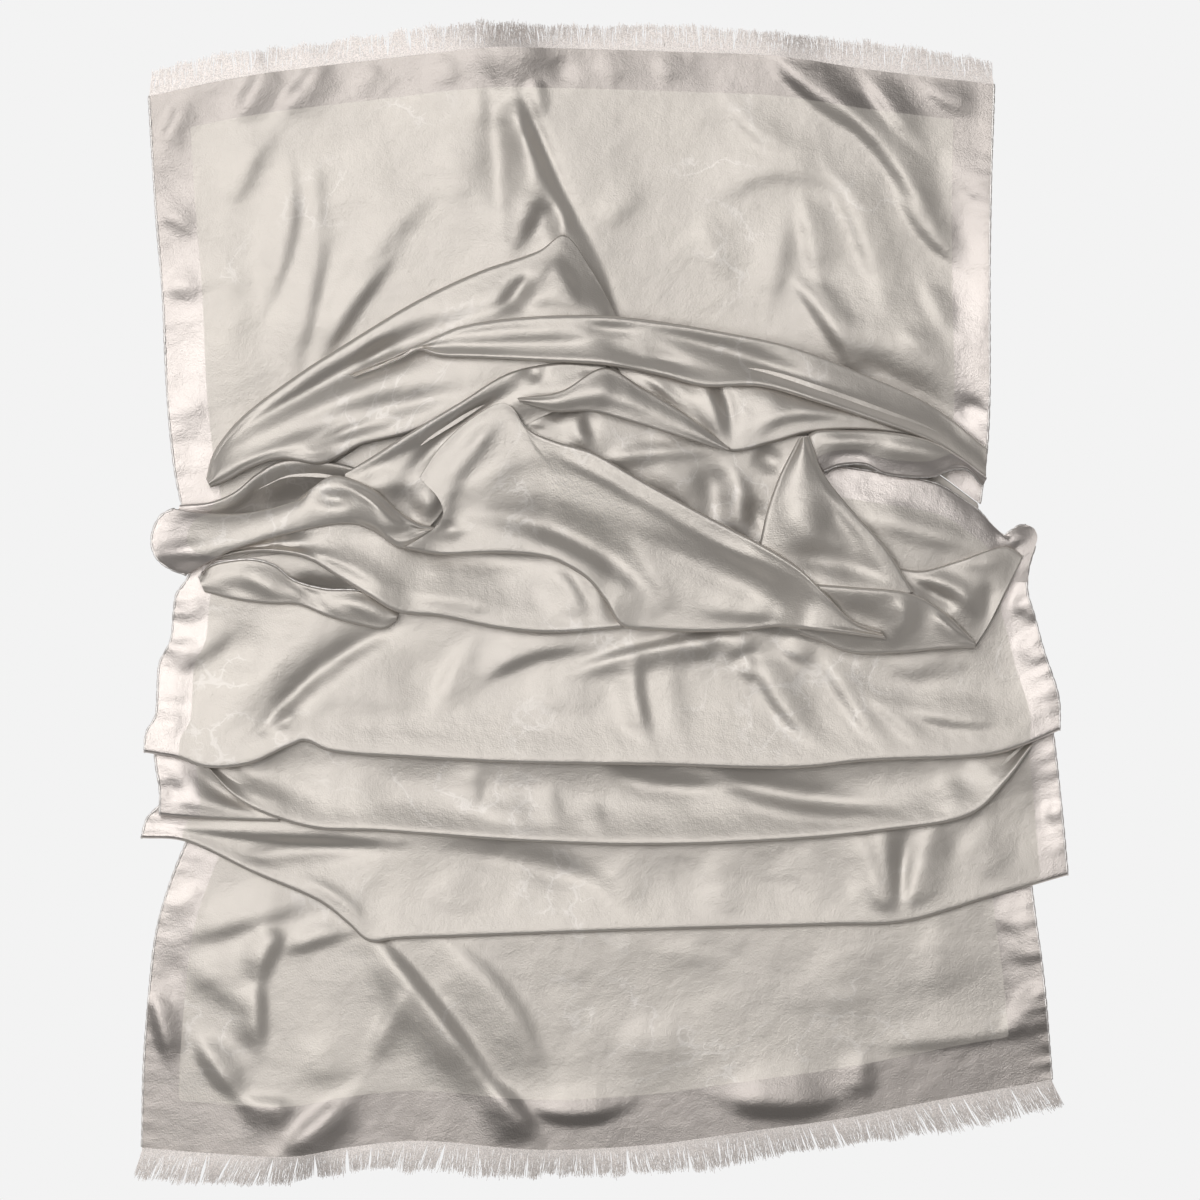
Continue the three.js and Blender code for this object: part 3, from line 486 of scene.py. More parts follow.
@dataclass
class Draper:
    """Lays the stretches down one on another, each as the cloth would lie there."""

    support: Support = field(default_factory=Support)
    rough_columns: int = 33
    rough_rows: int = 9
    least_columns: int = 12
    least_rows: int = 6
    widest_of_one: float = 0.4
    widest_of_two: float = 0.3
    longest_return: float = 0.3
    fade_rate: float = 5.0

    @staticmethod
    def _plan(stretch: Stretch, u: Array, v: Array) -> Array:
        """The plan of a stretch: a Coons patch between its four edges.

        Args:
            stretch: the stretch.
            u: shares across it, one for each column.
            v: shares from its far edge to its near edge, on the whole grid.

        Returns:
            The grid of x and y.
        """
        far_line, near_line = EdgeLine(stretch.far), EdgeLine(stretch.near)
        far, near = far_line.at(u)[:, None, :2], near_line.at(u)[:, None, :2]
        corners = [line.at(np.array([0.0, 1.0]))[:, :2] for line in (far_line, near_line)]
        share = v[..., None]
        if stretch.left:
            left = EdgeLine(stretch.left).at(v)[..., :2]
        else:
            left = corners[0][0] * (1 - share) + corners[1][0] * share
        if stretch.right:
            right = EdgeLine(stretch.right).at(v)[..., :2]
        else:
            right = corners[0][1] * (1 - share) + corners[1][1] * share
        across = u[:, None, None]
        ruled = far * (1 - share) + near * share
        sides = left * (1 - across) + right * across
        far_corners = corners[0][0] * (1 - across) + corners[0][1] * across
        near_corners = corners[1][0] * (1 - across) + corners[1][1] * across
        return ruled + sides - (far_corners * (1 - share) + near_corners * share)

    @staticmethod
    def _evened(values: Array, reach: int = 4) -> Array:
        """A running mean along the columns, its ends repeated."""
        return np.mean(shifted(values, reach, 0), axis=0)

    def _top(self, rim: Array, inward: Array, radius: Array, returned: Array) -> Array:
        """How high the top of an edge is.

        Args:
            rim: its places and aimed heights.
            inward: the level way in from it.
            radius: its fold's radius.
            returned: the length that returns under it.

        Returns:
            For each column the aimed height, or as high as what lies under it needs.
        """
        floor = np.max([
            self.support.under(rim[:, :2] + inward * reach[:, None])
            for reach in (np.zeros_like(radius), radius, radius + returned)
        ], axis=0)
        needed = floor + CLEARANCE + np.maximum(2 * radius, THICKNESS)
        return self._evened(np.maximum(rim[:, 2], needed))

    def _edge(self, rim: Array, inner: Array, fold: float, widest: Array, back: Array) -> FoldedEdge:
        """Works out the fold along one edge.

        Args:
            rim: the edge's x, y, aimed height and roundness, for each column.
            inner: a place a little way in from each.
            fold: the fold's full radius, or 0 where the cloth ends there.
            widest: the largest radius that each column has room for.
            back: the longest return that each has room for.

        Returns:
            The edge.
        """
        inward = inner - rim[:, :2]
        inward /= np.linalg.norm(inward, axis=1, keepdims=True)
        radius = np.minimum(fold * np.maximum(rim[:, 3], LEAST_ROUND), widest)
        returned = np.where(radius > 0, back * np.minimum(2 * rim[:, 3], 1), 0)
        top = self._top(rim, inward, radius, returned)
        return FoldedEdge(rim, inward, radius, returned, top)

    def _spacing(self, stretch: Stretch) -> tuple[Array, Array, int]:
        """How finely a stretch is divided.

        Args:
            stretch: the stretch.

        Returns:
            Shares across it, one for each column, its length along each column, and its rows.
        """
        coarse = np.linspace(0, 1, self.rough_columns)
        rows_at = np.tile(np.linspace(0, 1, self.rough_rows), (self.rough_columns, 1))
        rough = self._plan(stretch, coarse, rows_at)
        along_length = line_lengths(rough, 1)
        columns = max(self.least_columns, math.ceil(line_lengths(rough, 0).max() / STEP))
        rows = max(self.least_rows, math.ceil(along_length.max() / STEP))
        u = np.linspace(0, 1, columns + 1)
        return u, np.interp(u, coarse, along_length), rows

    @staticmethod
    def _rise(stretch: Stretch, along: Array) -> Array:
        """How a stretch arches between its edges: a sine of the share along it, to a power that
        makes a roll full and a sheet flat at its edges.

        Args:
            stretch: the stretch.
            along: for each row, the share along it.

        Returns:
            Heights between 0 and 1.
        """
        if stretch.near_fold <= 0:
            return np.sin(math.pi * along) ** SHEET_CROWN
        crown = ROLL_CROWN if stretch.far_fold > 0 else PLEAT_CROWN
        return np.sin(math.pi * along ** PLEAT_CREST) ** crown

    def _relief(self, stretch: Stretch, plan: Array, along: Array, seed: int) -> Array:
        """The small forms of a stretch: its folds, its unevenness and the gathers at its hems.

        Args:
            stretch: the stretch.
            plan: its grid of x and y.
            along: for each row, the share along it.
            seed: picks its slight unevenness.

        Returns:
            Heights on the same grid, which fade out towards a rounded edge.
        """
        relief = FoldShape().relief(plan, stretch.folds, stretch.fold_strength)
        relief += stretch.ripple * Ripple(seed).height(plan)
        relief += Gathers(seed + GATHER_SEED).relief(plan, stretch.hems)
        if stretch.near_fold > 0:
            relief *= smooth_step(self.fade_rate * np.minimum(along, 1 - along))
        return relief

    def drape(self, stretch: Stretch, seed: int) -> ClothGrid:
        """Works out one stretch over what lies below it, and lays it down.

        Args:
            stretch: the stretch.
            seed: picks its slight unevenness.

        Returns:
            Its grid.
        """
        u, width, rows = self._spacing(stretch)
        inner = self._plan(stretch, u, np.tile((AT_FAR_EDGE, AT_NEAR_EDGE), (len(u), 1)))
        both = stretch.far_fold > 0 and stretch.near_fold > 0
        widest = (self.widest_of_two if both else self.widest_of_one) * width
        back = np.minimum(RETURN_LENGTH, self.longest_return * width)
        far = self._edge(EdgeLine(stretch.far).at(u), inner[:, 0], stretch.far_fold, widest, back)
        near = self._edge(EdgeLine(stretch.near).at(u), inner[:, 1], stretch.near_fold, widest, back)

        along = np.linspace(0, 1, rows + 1)
        v_start, v_end = far.radius / width, 1 - near.radius / width
        plan = self._plan(stretch, u, v_start[:, None] + (v_end - v_start)[:, None] * along)
        height = far.top[:, None] * (1 - along) + near.top[:, None] * along
        height = height + stretch.crown * self._rise(stretch, along)
        height = height + self._relief(stretch, plan, along, seed)
        floor = self.support.under(plan) + CLEARANCE + THICKNESS
        height = self._settled(smooth_max(height, floor, BLEND_WIDTH))

        parts = [np.concatenate([plan, height[..., None]], axis=-1)]
        first = 0
        if stretch.far_fold > 0:
            parts.insert(0, far.folded(height[:, 0])[:, ::-1])
            first = parts[0].shape[1]
        if stretch.near_fold > 0:
            parts.append(near.folded(height[:, -1]))
        points = self._fitted(stretch.name, self._dropped(np.concatenate(parts, axis=1)))
        self.support.lay(points)
        ends = (Side.FAR, Side.NEAR) if stretch.loose_end else ()
        return ClothGrid(
            points,
            self._cloth_places(stretch, points),
            self._hem_share(stretch, points, plan, first, tuple(Side)),
            self._hem_share(stretch, points, plan, first, ends),
            slice(first, first + rows + 1),
        )

    @staticmethod
    def _settled(height: Array, rounds: int = 2) -> Array:
        """Evens heights out between neighbours: along and across, each becomes half of itself and a
        quarter of the two beside it.

        Args:
            height: the heights of a grid.
            rounds: how many times.

        Returns:
            The evened heights.
        """
        for _ in range(rounds):
            for axis in (0, 1):
                before, same, after = shifted(height, 1, axis)
                height = 0.25 * before + 0.5 * same + 0.25 * after
        return height

    def _dropped(self, points: Array) -> Array:
        """Lowers a stretch until it lies just above the highest thing under it."""
        gap = points[..., 2] - THICKNESS - self.support.exact(points[..., :2])
        drop = gap.min() - CLEARANCE
        return points - np.array([0.0, 0.0, max(drop, 0.0)])

    @staticmethod
    def _fitted(name: str, points: Array) -> Array:
        """Keeps a stretch off the floor.

        Args:
            name: its name, for the log.
            points: its grid.

        Returns:
            The grid, raised where it has to be.
        """
        lowest = points[..., 2].min() - THICKNESS
        if lowest < 0:
            points = points + np.array([0.0, 0.0, -lowest])
        log.debug("%s reaches %.1f mm", name, points[..., 2].max())
        return points

    @staticmethod
    def _cloth_places(stretch: Stretch, points: Array) -> Array:
        """Where each point is on the flat cloth: how far across from the left hem, and how far along
        from the far end.

        Args:
            stretch: the stretch.
            points: its grid.

        Returns:
            Two lengths in metres for each point.
        """
        along = np.linalg.norm(np.diff(points, axis=1), axis=-1)
        along = np.concatenate([np.zeros((len(points), 1)), np.cumsum(along, axis=1)], axis=1)
        across = points[..., 0] + STOLE_WIDTH / 2
        return np.stack([across, along + stretch.start_of_cloth], axis=-1) * METRE

    @staticmethod
    def _hem_share(
        stretch: Stretch, points: Array, plan: Array, first: int, sides: tuple[Side, ...],
    ) -> Array:
        """The distance to the nearest edge of some sides, as a share of the border's width there.

        Args:
            stretch: the stretch.
            points: its whole grid.
            plan: the x and y of the part between its folds.
            first: the column's first point of that part.
            sides: the sides that count.

        Returns:
            A share for each point of the grid, large where no border is near.
        """
        places = points[..., :2]
        rim = max(first - ARC_MIDDLE, 0)
        edges = {
            Side.LEFT: places[:1], Side.RIGHT: places[-1:],
            Side.FAR: places[:, rim:rim + 1], Side.NEAR: plan[:, -1:],
        }
        share = np.full(places.shape[:2], FAR_FROM_HEM)
        for border in stretch.borders:
            if border.side in sides:
                distance = np.linalg.norm(places - edges[border.side], axis=-1)
                share = np.minimum(share, (distance + border.hem_inset) / border.width)
        return share


UNDER_HEAP: Rows = (
    (184, 514, 1), (236, 502, 1), (310, 452, 1), (400, 392, 1), (480, 342, 2), (556, 312, 5),
    (640, 356, 2), (740, 388, 1), (840, 428, 2), (920, 462, 2), (980, 504, 2),
)
UNDER_PLEATS: Rows = (
    (192, 830, 1), (260, 850, 1), (330, 884, 1), (380, 908, 1), (520, 908, 1),
    (700, 902, 1), (880, 898, 1), (960, 880, 1), (1028, 862, 1),
)
FAR_ROOT: Rows = (
    (149, 96, 1), (240, 77, 1), (381, 59, 1), (486, 48, 4), (539, 48, 4),
    (690, 52, 1), (778, 56, 2), (866, 69, 1), (994, 84, 1),
)
NEAR_ROOT: Rows = (
    (142, 1148, 1), (205, 1153, 1), (290, 1157, 2), (346, 1148, 1), (416, 1141, 1), (538, 1150, 2),
    (650, 1145, 1), (753, 1131, 2), (848, 1118, 1), (940, 1100, 1), (1052, 1080, 1),
)
BOTH_HEMS = (Side.LEFT, Side.RIGHT)

FAR_PANEL = Stretch(
    name="far_panel", far=FAR_ROOT, near=UNDER_HEAP,
    left=((149, 96), (156, 210), (163, 298), (168, 403), (176, 476), (184, 514)),
    right=((994, 84), (990, 210), (989, 316), (989, 403), (986, 456), (980, 504)),
    borders=(Border(Side.LEFT), Border(Side.RIGHT), Border(Side.FAR)), hems=BOTH_HEMS, loose_end=True,
    fold_strength=0.95,
    folds=(
        # The right edge curls up a little.
        (1000, 60, 994, 290, 988, 500, 26, 4.5, 0),
        # The soft rise at the middle of the far end, and the crease beside it.
        (466, 56, 510, 47, 556, 58, 26, 4, 0),
        (512, 92, 518, 122, 538, 164, 11, 4.5, -0.5),
        (484, 82, 482, 104, 486, 134, 11, 1.6, 0.4),
        (532, 76, 541, 94, 540, 124, 9, 2.2, -0.5),
        (516, 120, 536, 160, 580, 250, 13, 6, -0.6),
        (560, 200, 590, 260, 612, 320, 11, 5, -0.6),
        (524, 86, 540, 170, 624, 322, 7, -4, 0),
        (522, 140, 536, 200, 506, 262, 18, 4, -0.2),
        (562, 194, 570, 226, 548, 254, 6, 3, 0.5),
        (546, 196, 546, 222, 520, 250, 8, -3, 0),
        (488, 60, 492, 140, 504, 240, 12, -3, 0),
        # Folds of the left half.
        (276, 56, 256, 88, 232, 130, 13, 3, 0.5),
        (330, 56, 308, 86, 276, 122, 13, 3, 0.5),
        (380, 60, 370, 74, 350, 96, 9, 1.5, 0.4),
        (280, 124, 240, 160, 232, 215, 14, 2.5, -0.3),
        (286, 156, 302, 225, 258, 318, 13, 3, -0.6),
        (310, 150, 322, 190, 314, 250, 9, 1.6, -0.5),
        (324, 220, 306, 300, 290, 376, 16, 3.5, -0.6),
        (398, 246, 344, 300, 316, 366, 15, 4.5, -0.6),
        (430, 190, 392, 225, 340, 280, 18, 2.2, -0.4),
        (444, 135, 462, 170, 462, 215, 18, 1.5, 0),
        (190, 330, 240, 360, 250, 420, 30, 1.6, 0),
        (230, 240, 226, 300, 240, 360, 26, 1.4, -0.3),
        (360, 130, 380, 180, 372, 230, 24, 1.2, -0.3),
        # The left border.
        (192, 92, 172, 124, 160, 158, 9, 2.5, 0.5),
        (158, 164, 178, 186, 198, 190, 8, -2, 0),
        (158, 200, 176, 226, 200, 230, 11, 2.4, 0.5),
        (160, 254, 176, 244, 198, 252, 8, -1.6, 0),
        (164, 280, 180, 292, 206, 284, 13, 2, 0.4),
        (166, 350, 184, 336, 206, 352, 12, -1.2, 0),
        (168, 400, 188, 412, 212, 404, 12, 1.5, 0),
        (174, 450, 190, 440, 212, 446, 10, -1.2, 0),
        # The long folds that come down from the far right corner.
        (768, 46, 812, 92, 874, 134, 16, 5, 0.6),
        (826, 92, 898, 146, 934, 226, 14, 5, 0.6),
        (896, 170, 918, 232, 966, 266, 12, 4, 0.6),
        (862, 68, 888, 108, 928, 152, 11, 3.5, 0.6),
        (916, 74, 944, 106, 980, 112, 11, 2.5, 0.6),
        (722, 88, 746, 134, 798, 152, 13, 2, 0.5),
        (700, 206, 780, 138, 850, 190, 19, 2, 0.5),
        (826, 160, 868, 216, 886, 306, 17, 3.4, 0.6),
        (786, 214, 778, 262, 766, 314, 14, 2, -0.5),
        (802, 190, 812, 234, 820, 290, 12, 2.5, 0.6),
        (790, 276, 830, 310, 856, 372, 12, 4, 0.6),
        (800, 318, 900, 340, 984, 398, 40, 6, 0.3),
        (842, 356, 892, 388, 950, 420, 22, -5, 0),
        (922, 278, 936, 306, 952, 334, 10, 2, 0.4),
        (700, 214, 710, 246, 730, 286, 14, 1.8, 0.5),
        (648, 180, 620, 205, 596, 230, 14, 1.5, 0),
        (900, 326, 914, 340, 926, 360, 12, 1.6, 0.4),
        (954, 412, 970, 404, 990, 412, 8, -2.5, 0),
        (944, 140, 962, 176, 996, 206, 16, 1.6, 0.4),
        (944, 330, 970, 344, 996, 330, 16, 1.0, 0.3),
        # Dents of the far border.
        (204, 88, 214, 104, 226, 118, 9, -1.6, 0),
        (440, 52, 448, 70, 450, 92, 12, 1.3, -0.4),
        (566, 50, 560, 70, 562, 92, 9, -1.6, 0),
        (600, 50, 612, 70, 616, 88, 12, 1.2, 0.5),
        (700, 54, 704, 70, 720, 90, 10, -1.2, 0),
        (660, 52, 664, 68, 670, 88, 10, 1.2, 0.5),
    ),
)

NEAR_PANEL = Stretch(
    name="near_panel", far=UNDER_PLEATS, near=NEAR_ROOT,
    left=((192, 830), (174, 873), (158, 925), (149, 996), (144, 1066), (142, 1148)),
    right=((1028, 862), (1036, 925), (1041, 960), (1048, 1031), (1052, 1080)),
    borders=(Border(Side.LEFT, 27), Border(Side.RIGHT), Border(Side.NEAR, 38)), hems=BOTH_HEMS,
    loose_end=True, start_of_cloth=1560, fold_strength=1.15,
    folds=(
        # The right edge curls up a little.
        (1036, 862, 1050, 960, 1060, 1090, 26, 4.5, 0),
        # The long fold that crosses the near end, and the softer one beside it.
        (362, 926, 424, 1002, 506, 1110, 16, 6.5, -0.6),
        (486, 1080, 512, 1108, 536, 1142, 15, 4, -0.5),
        (424, 934, 512, 986, 540, 1086, 20, 3.5, -0.5),
        # The hook under the lowest pleat.
        (288, 930, 262, 938, 256, 990, 13, 5, -0.6),
        (258, 976, 252, 1014, 258, 1056, 12, 4, -0.5),
        (314, 900, 250, 912, 166, 944, 15, 3, -0.5),
        (362, 926, 306, 940, 282, 952, 9, 3, -0.6),
        # The near left corner.
        (198, 1030, 212, 1070, 246, 1100, 13, 4.5, 0.5),
        (234, 1100, 268, 1112, 300, 1106, 12, 3, -0.4),
        (150, 986, 162, 1020, 172, 1068, 10, 3.5, 0.5),
        (356, 1090, 322, 1130, 276, 1158, 15, 4.4, 0.3),
        (182, 962, 220, 974, 250, 1004, 22, 2.5, 0.3),
        (410, 990, 386, 1018, 368, 1068, 11, 2.4, 0.5),
        (300, 1040, 330, 1060, 330, 1090, 20, 1.5, 0),
        (164, 962, 172, 968, 182, 980, 9, -2, 0),
        (160, 920, 184, 900, 206, 884, 12, 1.6, -0.4),
        # The middle.
        (556, 984, 660, 1012, 744, 956, 24, -2.6, 0),
        (612, 1036, 650, 1050, 700, 1040, 30, 1.6, 0),
        (520, 1102, 580, 1124, 632, 1100, 13, 3, 0.6),
        (716, 1092, 774, 1108, 846, 1096, 18, 3.8, 0.4),
        # The near right corner.
        (862, 1046, 858, 1076, 866, 1100, 14, 2, -0.4),
        (870, 1044, 950, 1040, 1040, 1024, 12, 1.6, 0.6),
        (1052, 974, 1024, 1006, 1002, 1046, 14, 2, 0.4),
        (1002, 946, 1022, 948, 1048, 962, 13, 1.2, 0.4),
        (988, 904, 1010, 924, 1040, 926, 16, 1.4, 0.4),
        (820, 940, 850, 980, 840, 1030, 34, 1.6, 0),
        (940, 920, 930, 960, 950, 1000, 26, 1.6, 0.3),
        (700, 940, 690, 960, 700, 1000, 30, 1.2, 0),
    ),
)

PLEAT_3 = Stretch(
    name="pleat_3",
    far=(
        (168, 788, 8), (260, 798, 8), (381, 812, 8), (521, 822, 8), (650, 826, 8),
        (760, 822, 8), (866, 813, 8), (950, 790, 8), (1010, 738, 8), (1050, 714, 8),
    ),
    near=(
        (142, 838, 9), (184, 841, 9), (254, 873, 9), (322, 903, 10), (350, 925, 11), (369, 941, 11),
        (396, 939, 11), (451, 937, 10), (650, 930, 10), (831, 925, 10), (903, 922, 10), (988, 898, 9),
        (1067, 875, 9),
    ),
    left=((168, 788), (161, 804), (148, 818), (142, 838)), right=((1050, 714), (1059, 790), (1067, 875)),
    crown=-2.6, near_fold=2.4, borders=(Border(Side.LEFT), Border(Side.RIGHT, 21)), hems=BOTH_HEMS,
    start_of_cloth=1300, fold_strength=1.0,
    folds=(
        (1056, 714, 1064, 790, 1072, 880, 22, 3, 0),
        (150, 822, 280, 834, 404, 840, 10, 3, 0.6),
        (236, 864, 290, 842, 404, 850, 10, -2.4, 0),
        (884, 812, 882, 868, 897, 930, 12, 3.6, -0.5),
        (854, 816, 864, 868, 890, 920, 12, 2.2, -0.5),
        (940, 812, 920, 862, 902, 928, 15, 3.2, 0.4),
        (910, 816, 900, 862, 899, 926, 6, -2, 0),
        (420, 848, 540, 858, 604, 890, 15, -3, 0),
        (300, 880, 340, 900, 366, 930, 12, 2.5, -0.3),
        (600, 860, 620, 880, 640, 920, 16, 1.6, 0.3),
        (700, 850, 730, 880, 720, 920, 20, 1.6, 0.3),
        (960, 830, 980, 850, 1010, 880, 20, 2, 0.3),
        (1034, 760, 1044, 796, 1052, 840, 12, -1.5, 0),
        (1040, 808, 1054, 816, 1064, 814, 9, 1.8, 0.4),
        (780, 852, 800, 880, 850, 900, 18, 1.3, 0.3),
        (440, 870, 460, 890, 450, 920, 20, 1.2, 0),
    ),
)

LEFT_TUCK = Stretch(
    name="left_tuck",
    far=((155, 742, 13), (200, 744, 13), (240, 774, 11), (276, 802, 11)),
    near=((161, 815, 15), (202, 818, 15), (242, 820, 14), (280, 821, 13)),
    left=((155, 742), (157, 764), (161, 790), (161, 815)),
    crown=0.5, near_fold=2.4, borders=(Border(Side.LEFT),), hems=(Side.LEFT,), start_of_cloth=1200,
    folds=(
        (158, 800, 210, 804, 270, 816, 7, 1.6, 0.3),
        (164, 770, 176, 786, 178, 806, 8, -1.5, 0),
        (192, 766, 214, 790, 262, 812, 9, -3.5, 0),
        (160, 778, 176, 774, 190, 782, 12, 1.2, 0.2),
    ),
)

PLEAT_2 = Stretch(
    name="pleat_2",
    far=(
        (196, 744, 14), (258, 742, 14), (305, 722, 14), (416, 738, 14), (521, 744, 14),
        (650, 746, 14), (795, 748, 14), (936, 734, 14), (1028, 724, 14),
    ),
    near=(
        (207, 766, 17), (240, 800, 17), (310, 827, 18), (381, 831, 18), (521, 841, 18), (650, 845, 18),
        (800, 839, 18), (880, 831, 18), (971, 814, 18), (1005, 782, 17), (1030, 748, 17),
    ),
    crown=-5.5, near_fold=2.4, start_of_cloth=1120,
    folds=(
        (704, 766, 770, 802, 896, 808, 13, -4, 0),
        (720, 790, 800, 822, 920, 812, 10, 1.6, 0.5),
        (602, 762, 626, 794, 744, 786, 11, -3, 0),
        (478, 762, 470, 790, 474, 812, 12, 1.8, -0.6),
        (548, 780, 550, 806, 556, 822, 12, 1.4, -0.6),
        (598, 800, 592, 816, 600, 834, 9, 1.2, -0.5),
        (470, 804, 500, 812, 540, 812, 12, 1.6, 0.6),
        (960, 760, 986, 772, 1004, 776, 14, 2, 0),
        (940, 770, 960, 800, 950, 820, 14, 2, 0),
        (300, 770, 340, 790, 400, 790, 18, 2, 0),
        (240, 776, 260, 800, 300, 812, 12, 2, 0),
    ),
)

PLEAT_1 = Stretch(
    name="pleat_1",
    far=(
        (196, 562, 16), (250, 558, 19), (300, 554, 20), (350, 564, 20), (398, 588, 17), (520, 604, 17),
        (650, 604, 17),
        (800, 606, 17), (900, 612, 17), (976, 590, 17), (1034, 546, 16),
    ),
    near=(
        (146, 752, 23), (180, 758, 23), (207, 767, 24), (250, 764, 24), (290, 746, 23), (305, 741, 23),
        (331, 751, 24), (416, 758, 24), (521, 763, 24), (650, 765, 24), (795, 768, 24), (866, 761, 24),
        (988, 755, 24), (1023, 745, 23), (1058, 730, 22),
    ),
    left=(
        (196, 562), (188, 580), (178, 594), (175, 612), (172, 640), (161, 663), (159, 690), (157, 716),
        (148, 732), (146, 752),
    ),
    right=((1034, 546), (1027, 570), (1026, 592), (1033, 616), (1042, 650), (1057, 698), (1058, 730)),
    crown=-4, near_fold=2.6, borders=(Border(Side.LEFT, 26), Border(Side.RIGHT, 24)), hems=BOTH_HEMS,
    start_of_cloth=960, fold_strength=1.1,
    folds=(
        (1036, 546, 1040, 630, 1062, 740, 24, 4, 0),
        (402, 624, 322, 652, 244, 750, 8, -3.4, 0),
        (376, 606, 284, 640, 210, 736, 24, 2.6, -0.3),
        (430, 640, 350, 664, 280, 726, 18, 1.8, 0.3),
        (204, 636, 240, 656, 280, 646, 22, -1.6, 0),
        (274, 712, 292, 726, 308, 742, 8, 3, 0.5),
        (262, 730, 276, 734, 300, 744, 6, -1.5, 0),
        (564, 676, 640, 646, 764, 634, 9, 3.5, -0.5),
        (478, 684, 520, 640, 590, 646, 12, 3, 0.6),
        (436, 716, 450, 676, 476, 640, 13, 2, -0.5),
        (636, 648, 630, 696, 650, 746, 9, 3.5, -0.6),
        (672, 650, 662, 696, 684, 748, 15, 1.4, -0.3),
        (724, 660, 744, 636, 756, 650, 9, 2.4, 0.3),
        (742, 652, 754, 666, 750, 684, 7, 2.5, -0.6),
        (758, 650, 764, 690, 820, 746, 13, 3.6, 0.6),
        (818, 650, 848, 694, 884, 752, 11, 2.4, 0.6),
        (866, 690, 888, 712, 930, 748, 10, 1.8, 0.6),
        (896, 704, 950, 720, 1004, 720, 13, 2.6, 0.6),
        (286, 578, 322, 594, 362, 592, 10, -6, 0),
        (690, 624, 780, 612, 846, 642, 11, 4, 0.6),
        (1030, 730, 1044, 726, 1056, 716, 8, -2, 0),
        (158, 656, 178, 646, 204, 650, 12, 1.5, 0.2),
        (156, 692, 176, 688, 196, 694, 12, 1.3, 0.2),
        (172, 616, 190, 604, 210, 604, 14, 1.4, 0.2),
        (150, 726, 170, 722, 188, 730, 11, 1.2, 0.2),
        (166, 676, 200, 650, 240, 624, 14, 2, 0.5),
        (1008, 600, 1024, 606, 1040, 616, 11, 2.4, 0.6),
        (1012, 652, 1030, 648, 1050, 656, 12, 1.6, 0.4),
        (880, 660, 920, 670, 970, 656, 16, 1.6, 0.3),
        (520, 700, 560, 690, 610, 700, 20, 1.6, 0.3),
        (330, 700, 380, 690, 430, 700, 20, 1.6, 0.3),
        (780, 646, 796, 650, 812, 660, 10, 2, 0.4),
        (690, 652, 700, 646, 716, 654, 8, 1.6, 0.4),
    ),
)

RIGHT_WING = Stretch(
    name="right_wing",
    far=(
        (808, 462, 22), (860, 470, 23), (915, 479, 23), (940, 486, 22), (962, 500, 21), (978, 511, 21),
        (990, 525, 20), (1001, 536, 19), (1010, 531, 19, 0.5), (1018, 526, 19, 0.2), (1026, 525, 18, 0.08),
    ),
    near=((830, 575, 25), (880, 590, 25), (930, 590, 24), (985, 580, 22), (1026, 582, 20)),
    right=((1026, 525), (1033, 529), (1036, 537), (1033, 549), (1028, 564), (1026, 582)),
    crown=2, far_fold=1.2, borders=(Border(Side.FAR, 24), Border(Side.RIGHT, 14)), hems=(Side.FAR,),
    start_of_cloth=820,
    folds=(
        (850, 516, 920, 520, 985, 552, 18, 3, 0.5),
        (880, 500, 930, 508, 960, 530, 14, -2, 0),
        (998, 546, 1010, 536, 1028, 534, 9, 2.5, 0.3),
        (985, 566, 1005, 556, 1022, 560, 9, -2.5, 0),
    ),
)

LEFT_LEDGE = Stretch(
    name="left_ledge",
    far=(
        (181, 505, 15), (212, 502, 17), (236, 492, 19), (258, 474, 21), (284, 461, 22), (340, 464, 22),
        (362, 470, 20),
    ),
    near=((176, 520, 15), (215, 520, 14), (250, 518, 10), (290, 514, 10), (340, 506, 10), (372, 500, 10)),
    far_fold=2, borders=(Border(Side.LEFT, 26),), start_of_cloth=700,
    folds=(
        (214, 511, 240, 507, 264, 478, 5, 1.6, 0.6),
        (262, 502, 310, 500, 352, 488, 15, -7, 0),
    ),
)

FAR_ROLL = Stretch(
    name="far_roll",
    far=(
        (207, 479, 16), (214, 454, 17), (240, 420, 18), (300, 374, 18), (350, 342, 18), (420, 300, 18),
        (480, 272, 18), (540, 251, 18, 0.8), (564, 236, 16, 0.4), (590, 268, 16, 0.3), (616, 315, 18, 0.3),
    ),
    near=(
        (212, 488, 19), (230, 481, 21), (250, 470, 23), (282, 460, 24), (322, 465, 25), (344, 456, 25),
        (360, 447, 25), (410, 434, 25), (460, 410, 26), (520, 378, 26), (570, 368, 26), (616, 352, 25),
    ),
    crown=2.5, far_fold=3.6, near_fold=2.8, start_of_cloth=330, fold_strength=0.85,
    folds=(
        (240, 440, 330, 366, 520, 304, 15, -7, 0),
        (526, 272, 526, 294, 496, 312, 9, -6, 0),
        (400, 344, 380, 354, 356, 366, 9, -4, 0),
        (222, 464, 330, 412, 482, 392, 13, -5, 0),
        (218, 476, 300, 438, 392, 412, 9, 2.5, 0.4),
        (316, 440, 360, 430, 410, 422, 7, -4, 0),
        (306, 446, 310, 462, 344, 452, 6, 2.5, 0),
        (500, 300, 560, 290, 600, 310, 12, 3, 0.4),
        (545, 262, 562, 270, 574, 300, 10, 3, -0.4),
    ),
)

